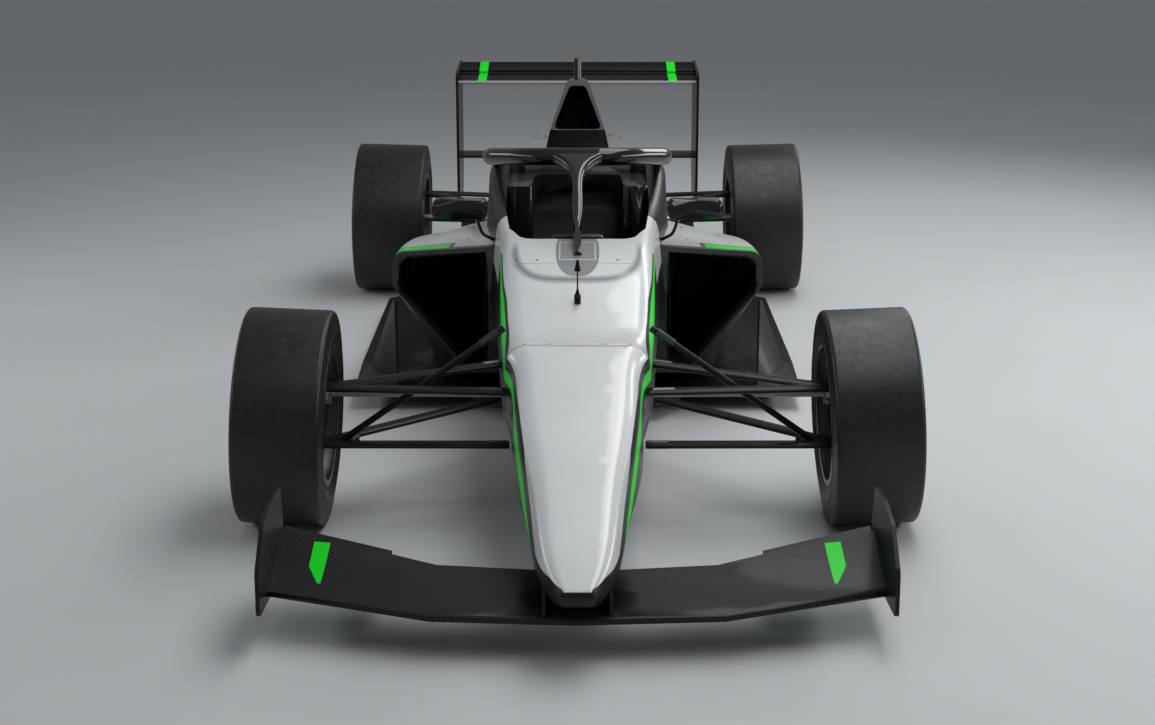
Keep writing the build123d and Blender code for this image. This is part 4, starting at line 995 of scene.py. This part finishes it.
# inner point of each left leg and a point further out on it: across, behind the front axle, up
front_lower, front_upper = (0.678, -0.008, 0.205), (0.662, 0.004, 0.352)
rear_lower, rear_upper = (0.640, 2.750, 0.190), (0.630, 2.754, 0.382)
leg_ends = {
    "front": (
        ((0.175, 0.012, 0.198), front_lower), ((0.205, 0.452, 0.200), front_lower),
        ((0.184, -0.042, 0.354), front_upper), ((0.186, 0.134, 0.384), front_upper),
        ((0.196, 0.039, 0.493), (0.600, 0.012, 0.213)),
    ),
    "rear": (
        ((0.130, 2.530, 0.183), rear_lower), ((0.120, 2.886, 0.183), rear_lower),
        ((0.130, 2.532, 0.342), rear_upper), ((0.115, 2.858, 0.343), rear_upper),
    ),
}
fitting_radius, fitting_steps = 0.0112, (0.006, 0.012, 0.026, 0.060)
for end, rows in leg_ends.items():
    for hand, sign in hands:
        for k, leg in enumerate(rows):
            start, out = (Vector((sign * x, front_axle + back, z)) for x, back, z in leg)
            way = (out - start).normalized()
            line = [start + way * step for step in fitting_steps]
            fitting = swept(f"{end}_leg_fitting_{k}_{hand}", line, ring(fitting_radius, 20))
            dress(fitting, fitting_steel, "chassis")
for hand, _ in hands:
    for node in ("front_lower_links_", "front_upper_links_", "rear_lower_links_", "rear_upper_links_"):
        smooth_copy(node + hand, "chassis", link_weave)
    smooth_copy("upright_rear_" + hand, "chassis", alloy)
    smooth_copy("upright_front_" + hand, "knuckle_" + hand, alloy)
smooth_copy("steering_rack", "rack", steel)


# ---------------------------------------------------------------- tyres
# Slick racing tyres: a flat tread with soft shoulders, sidewalls with raised rings and a rim
# protector. They are moulded rubber, worn duller in patches and specked with pick-up.
def wheel_ways(axis):
    """The two directions square to a wheel's axis."""
    first = axis.cross(Vector((0, 1, 0))).normalized()
    return first, axis.cross(first)


def turned(name, centre, axis, profile, steps):
    """A closed profile of (along the axis, radius) points turned about the axis."""
    first, second = wheel_ways(axis)
    points, faces = [], []
    count = len(profile)
    for i in range(steps):
        way = first * cos(2 * pi * i / steps) + second * sin(2 * pi * i / steps)
        points += [tuple(centre + axis * u + way * v) for u, v in profile]
        ahead = (i + 1) % steps * count
        for k in range(count):
            n = (k + 1) % count
            faces.append((i * count + k, i * count + n, ahead + n, ahead + k))
    return outward(plain_mesh(name, points, faces), 35, 0.000001)


# place along the car, half track, lean, radius, half section, tread corner, bulge radius, shoulder, half rim
axle_sizes = {
    "front": (front_axle, 0.738, 2.5, 0.275, 0.115, 0.107, 0.215, 0.030, 0.108),
    "rear": (1.60, 0.722, 1.5, 0.2825, 0.1375, 0.130, 0.222, 0.032, 0.132),
}
wheel_place = {}
for end, (along, half_track, lean, radius, half_section, tread, bulge, shoulder, _) in axle_sizes.items():
    tilt, corner_turn = radians(lean), atan2(radius - bulge, half_section - tread)
    flat = tread - shoulder * sin(corner_turn / 2) / cos(corner_turn / 2)
    height = shoulder + (radius - shoulder) * cos(tilt) + flat * sin(tilt)
    for hand, sign in hands:
        middle, axis = Vector((sign * half_track, along, height)), Vector((sign * cos(tilt), 0, sin(tilt)))
        wheel_place[end + "_" + hand] = (middle, axis.normalized())
rubber = Finish("slick_rubber", (0.012, 0.012, 0.0125), 0.55, spec=0.5)
scuff = rubber.noise(38.0, 6.0, 0.65)
pick_up = rubber.span(rubber.noise(160.0, 4.0, 0.6), 0.62, 0.74)
rubber.shades(rubber.span(scuff, 0.35, 0.75), (0.006, 0.006, 0.0065), (0.013, 0.013, 0.0135))
rubber.worn(scuff, 0.33, 0.50)
rubber.bump(pick_up, 0.0005, 0.5, under=rubber.bump(rubber.noise(900.0, 2.0), 0.0002, 0.6))
bead_inset, bead_width, bead_radius, tyre_wall = 0.0063, 0.016, 0.1645, 0.013
for corner, (middle, axis) in wheel_place.items():
    _, _, _, radius, half_section, tread, bulge, shoulder, half_rim = axle_sizes[corner.split("_")[0]]
    bead = half_rim - bead_inset
    heel = bead - bead_width
    # from the middle of the tread over the shoulder and down the sidewall to the bead, with corner radii
    outer = [
        (0.0, radius, 0.0), (tread, radius, shoulder * 0.92), (tread + 0.0024, radius - 0.020, 0.02),
        (half_section - 0.0012, bulge + 0.008, 0.002), (half_section, bulge + 0.006, 0.001),
        (half_section, bulge - 0.003, 0.001), (half_section - 0.0012, bulge - 0.006, 0.002),
        (bead + 0.0055, 0.194, 0.002), (bead + 0.0065, 0.1895, 0.002), (bead + 0.0045, 0.186, 0.002),
        (bead, 0.179, 0.006), (bead, 0.1653, 0.0), (heel, bead_radius, 0.0),
    ]
    # from the bead up inside the wall and back to the middle
    inner = [
        (heel, 0.181, 0.004), (half_section - tyre_wall, bulge, 0.024),
        (tread - tyre_wall, radius - tyre_wall, 0.02), (0.0, radius - tyre_wall, 0.0),
    ]
    loop = [tuple(p) for p in rounded(outer, 8) + rounded(inner, 5)]
    loop += [(-u, v) for u, v in reversed(loop)]
    clean = [p for i, p in enumerate(loop) if (Vector(p) - Vector(loop[i - 1])).length > 0.00002]
    tyre = turned("slick_tyre_" + corner, middle, axis, clean, 144)
    dress(tyre, rubber, "wheel_" + corner, "tyre_" + corner)

# ---------------------------------------------------------------- rims
# Thirteen inch cast wheels in dark grey paint, with a turned steel brake disc and hub behind
# them. One light alloy nut with six lobes and a black cap holds each wheel.
dark_rim = Finish("rim_paint", (0.06, 0.062, 0.066), 0.36, 0.7)
dark_rim.worn(dark_rim.noise(900.0), 0.30, 0.46)
dark_rim.shades(dark_rim.noise(20.0, 4.0), (0.05, 0.052, 0.055), (0.08, 0.083, 0.088))
disc_from, hub_steel = 0.085, (0.38, 0.38, 0.375)
brake_finish = {}
for end in axle_sizes:
    middle = wheel_place[end + "_left"][0]
    f = Finish(end + "_brake_steel", hub_steel, 0.36, 1.0)
    up, along = f.minus(f.z, middle.z), f.minus(f.y, middle.y)
    from_axle = f.math("SQRT", f.plus(f.times(up, up), f.times(along, along)))
    disc = f.span(from_axle, disc_from - 0.0005, disc_from + 0.0005)
    rings = f.zigzag(from_axle, 700.0)
    f.shades(disc, hub_steel, f.mix(rings, (0.10, 0.10, 0.102), (0.17, 0.17, 0.172)))
    f.worn(f.noise(90.0, 4.0), 0.28, 0.46)
    f.bump(f.times(disc, rings), 0.0001, 0.4)
    brake_finish[end] = f
nut_alloy = handled("nut_alloy", (0.46, 0.47, 0.48), 0.3, 1.0, 400.0, 0.22, 0.40)
nut_black = handled("nut_cap", (0.02, 0.02, 0.022), 0.4, 0.0, 400.0, 0.34, 0.50)
nut_from, nut_to, nut_radius, lobe, cap_radius = 0.0526, 0.0746, 0.0300, 0.0016, 0.0170
turns = [2 * pi * i / 72 for i in range(72)]
reaches = [nut_radius + lobe * cos(6 * turn) for turn in turns]
lobed = [(reach * cos(turn), reach * sin(turn)) for reach, turn in zip(reaches, turns)]
for corner, (middle, axis) in wheel_place.items():
    wheel = "wheel_" + corner
    first, second = wheel_ways(axis)

    def on_hub(u, v, level):
        """A point of the hub: square to its axis, and out along it."""
        return middle + first * u + second * v + axis * level

    smooth_copy("rim_" + corner, wheel, dark_rim)
    smooth_copy("brake_hub_" + corner, wheel, brake_finish[corner.split("_")[0]])
    dress(slab("centre_nut_" + corner, lobed, on_hub, nut_from, nut_to, 0.0012), nut_alloy, wheel)
    cap = slab("nut_cap_" + corner, ring(cap_radius, 36), on_hub, nut_to - 0.001, nut_to + 0.0012, 0.0008)
    dress(cap, nut_black, wheel)
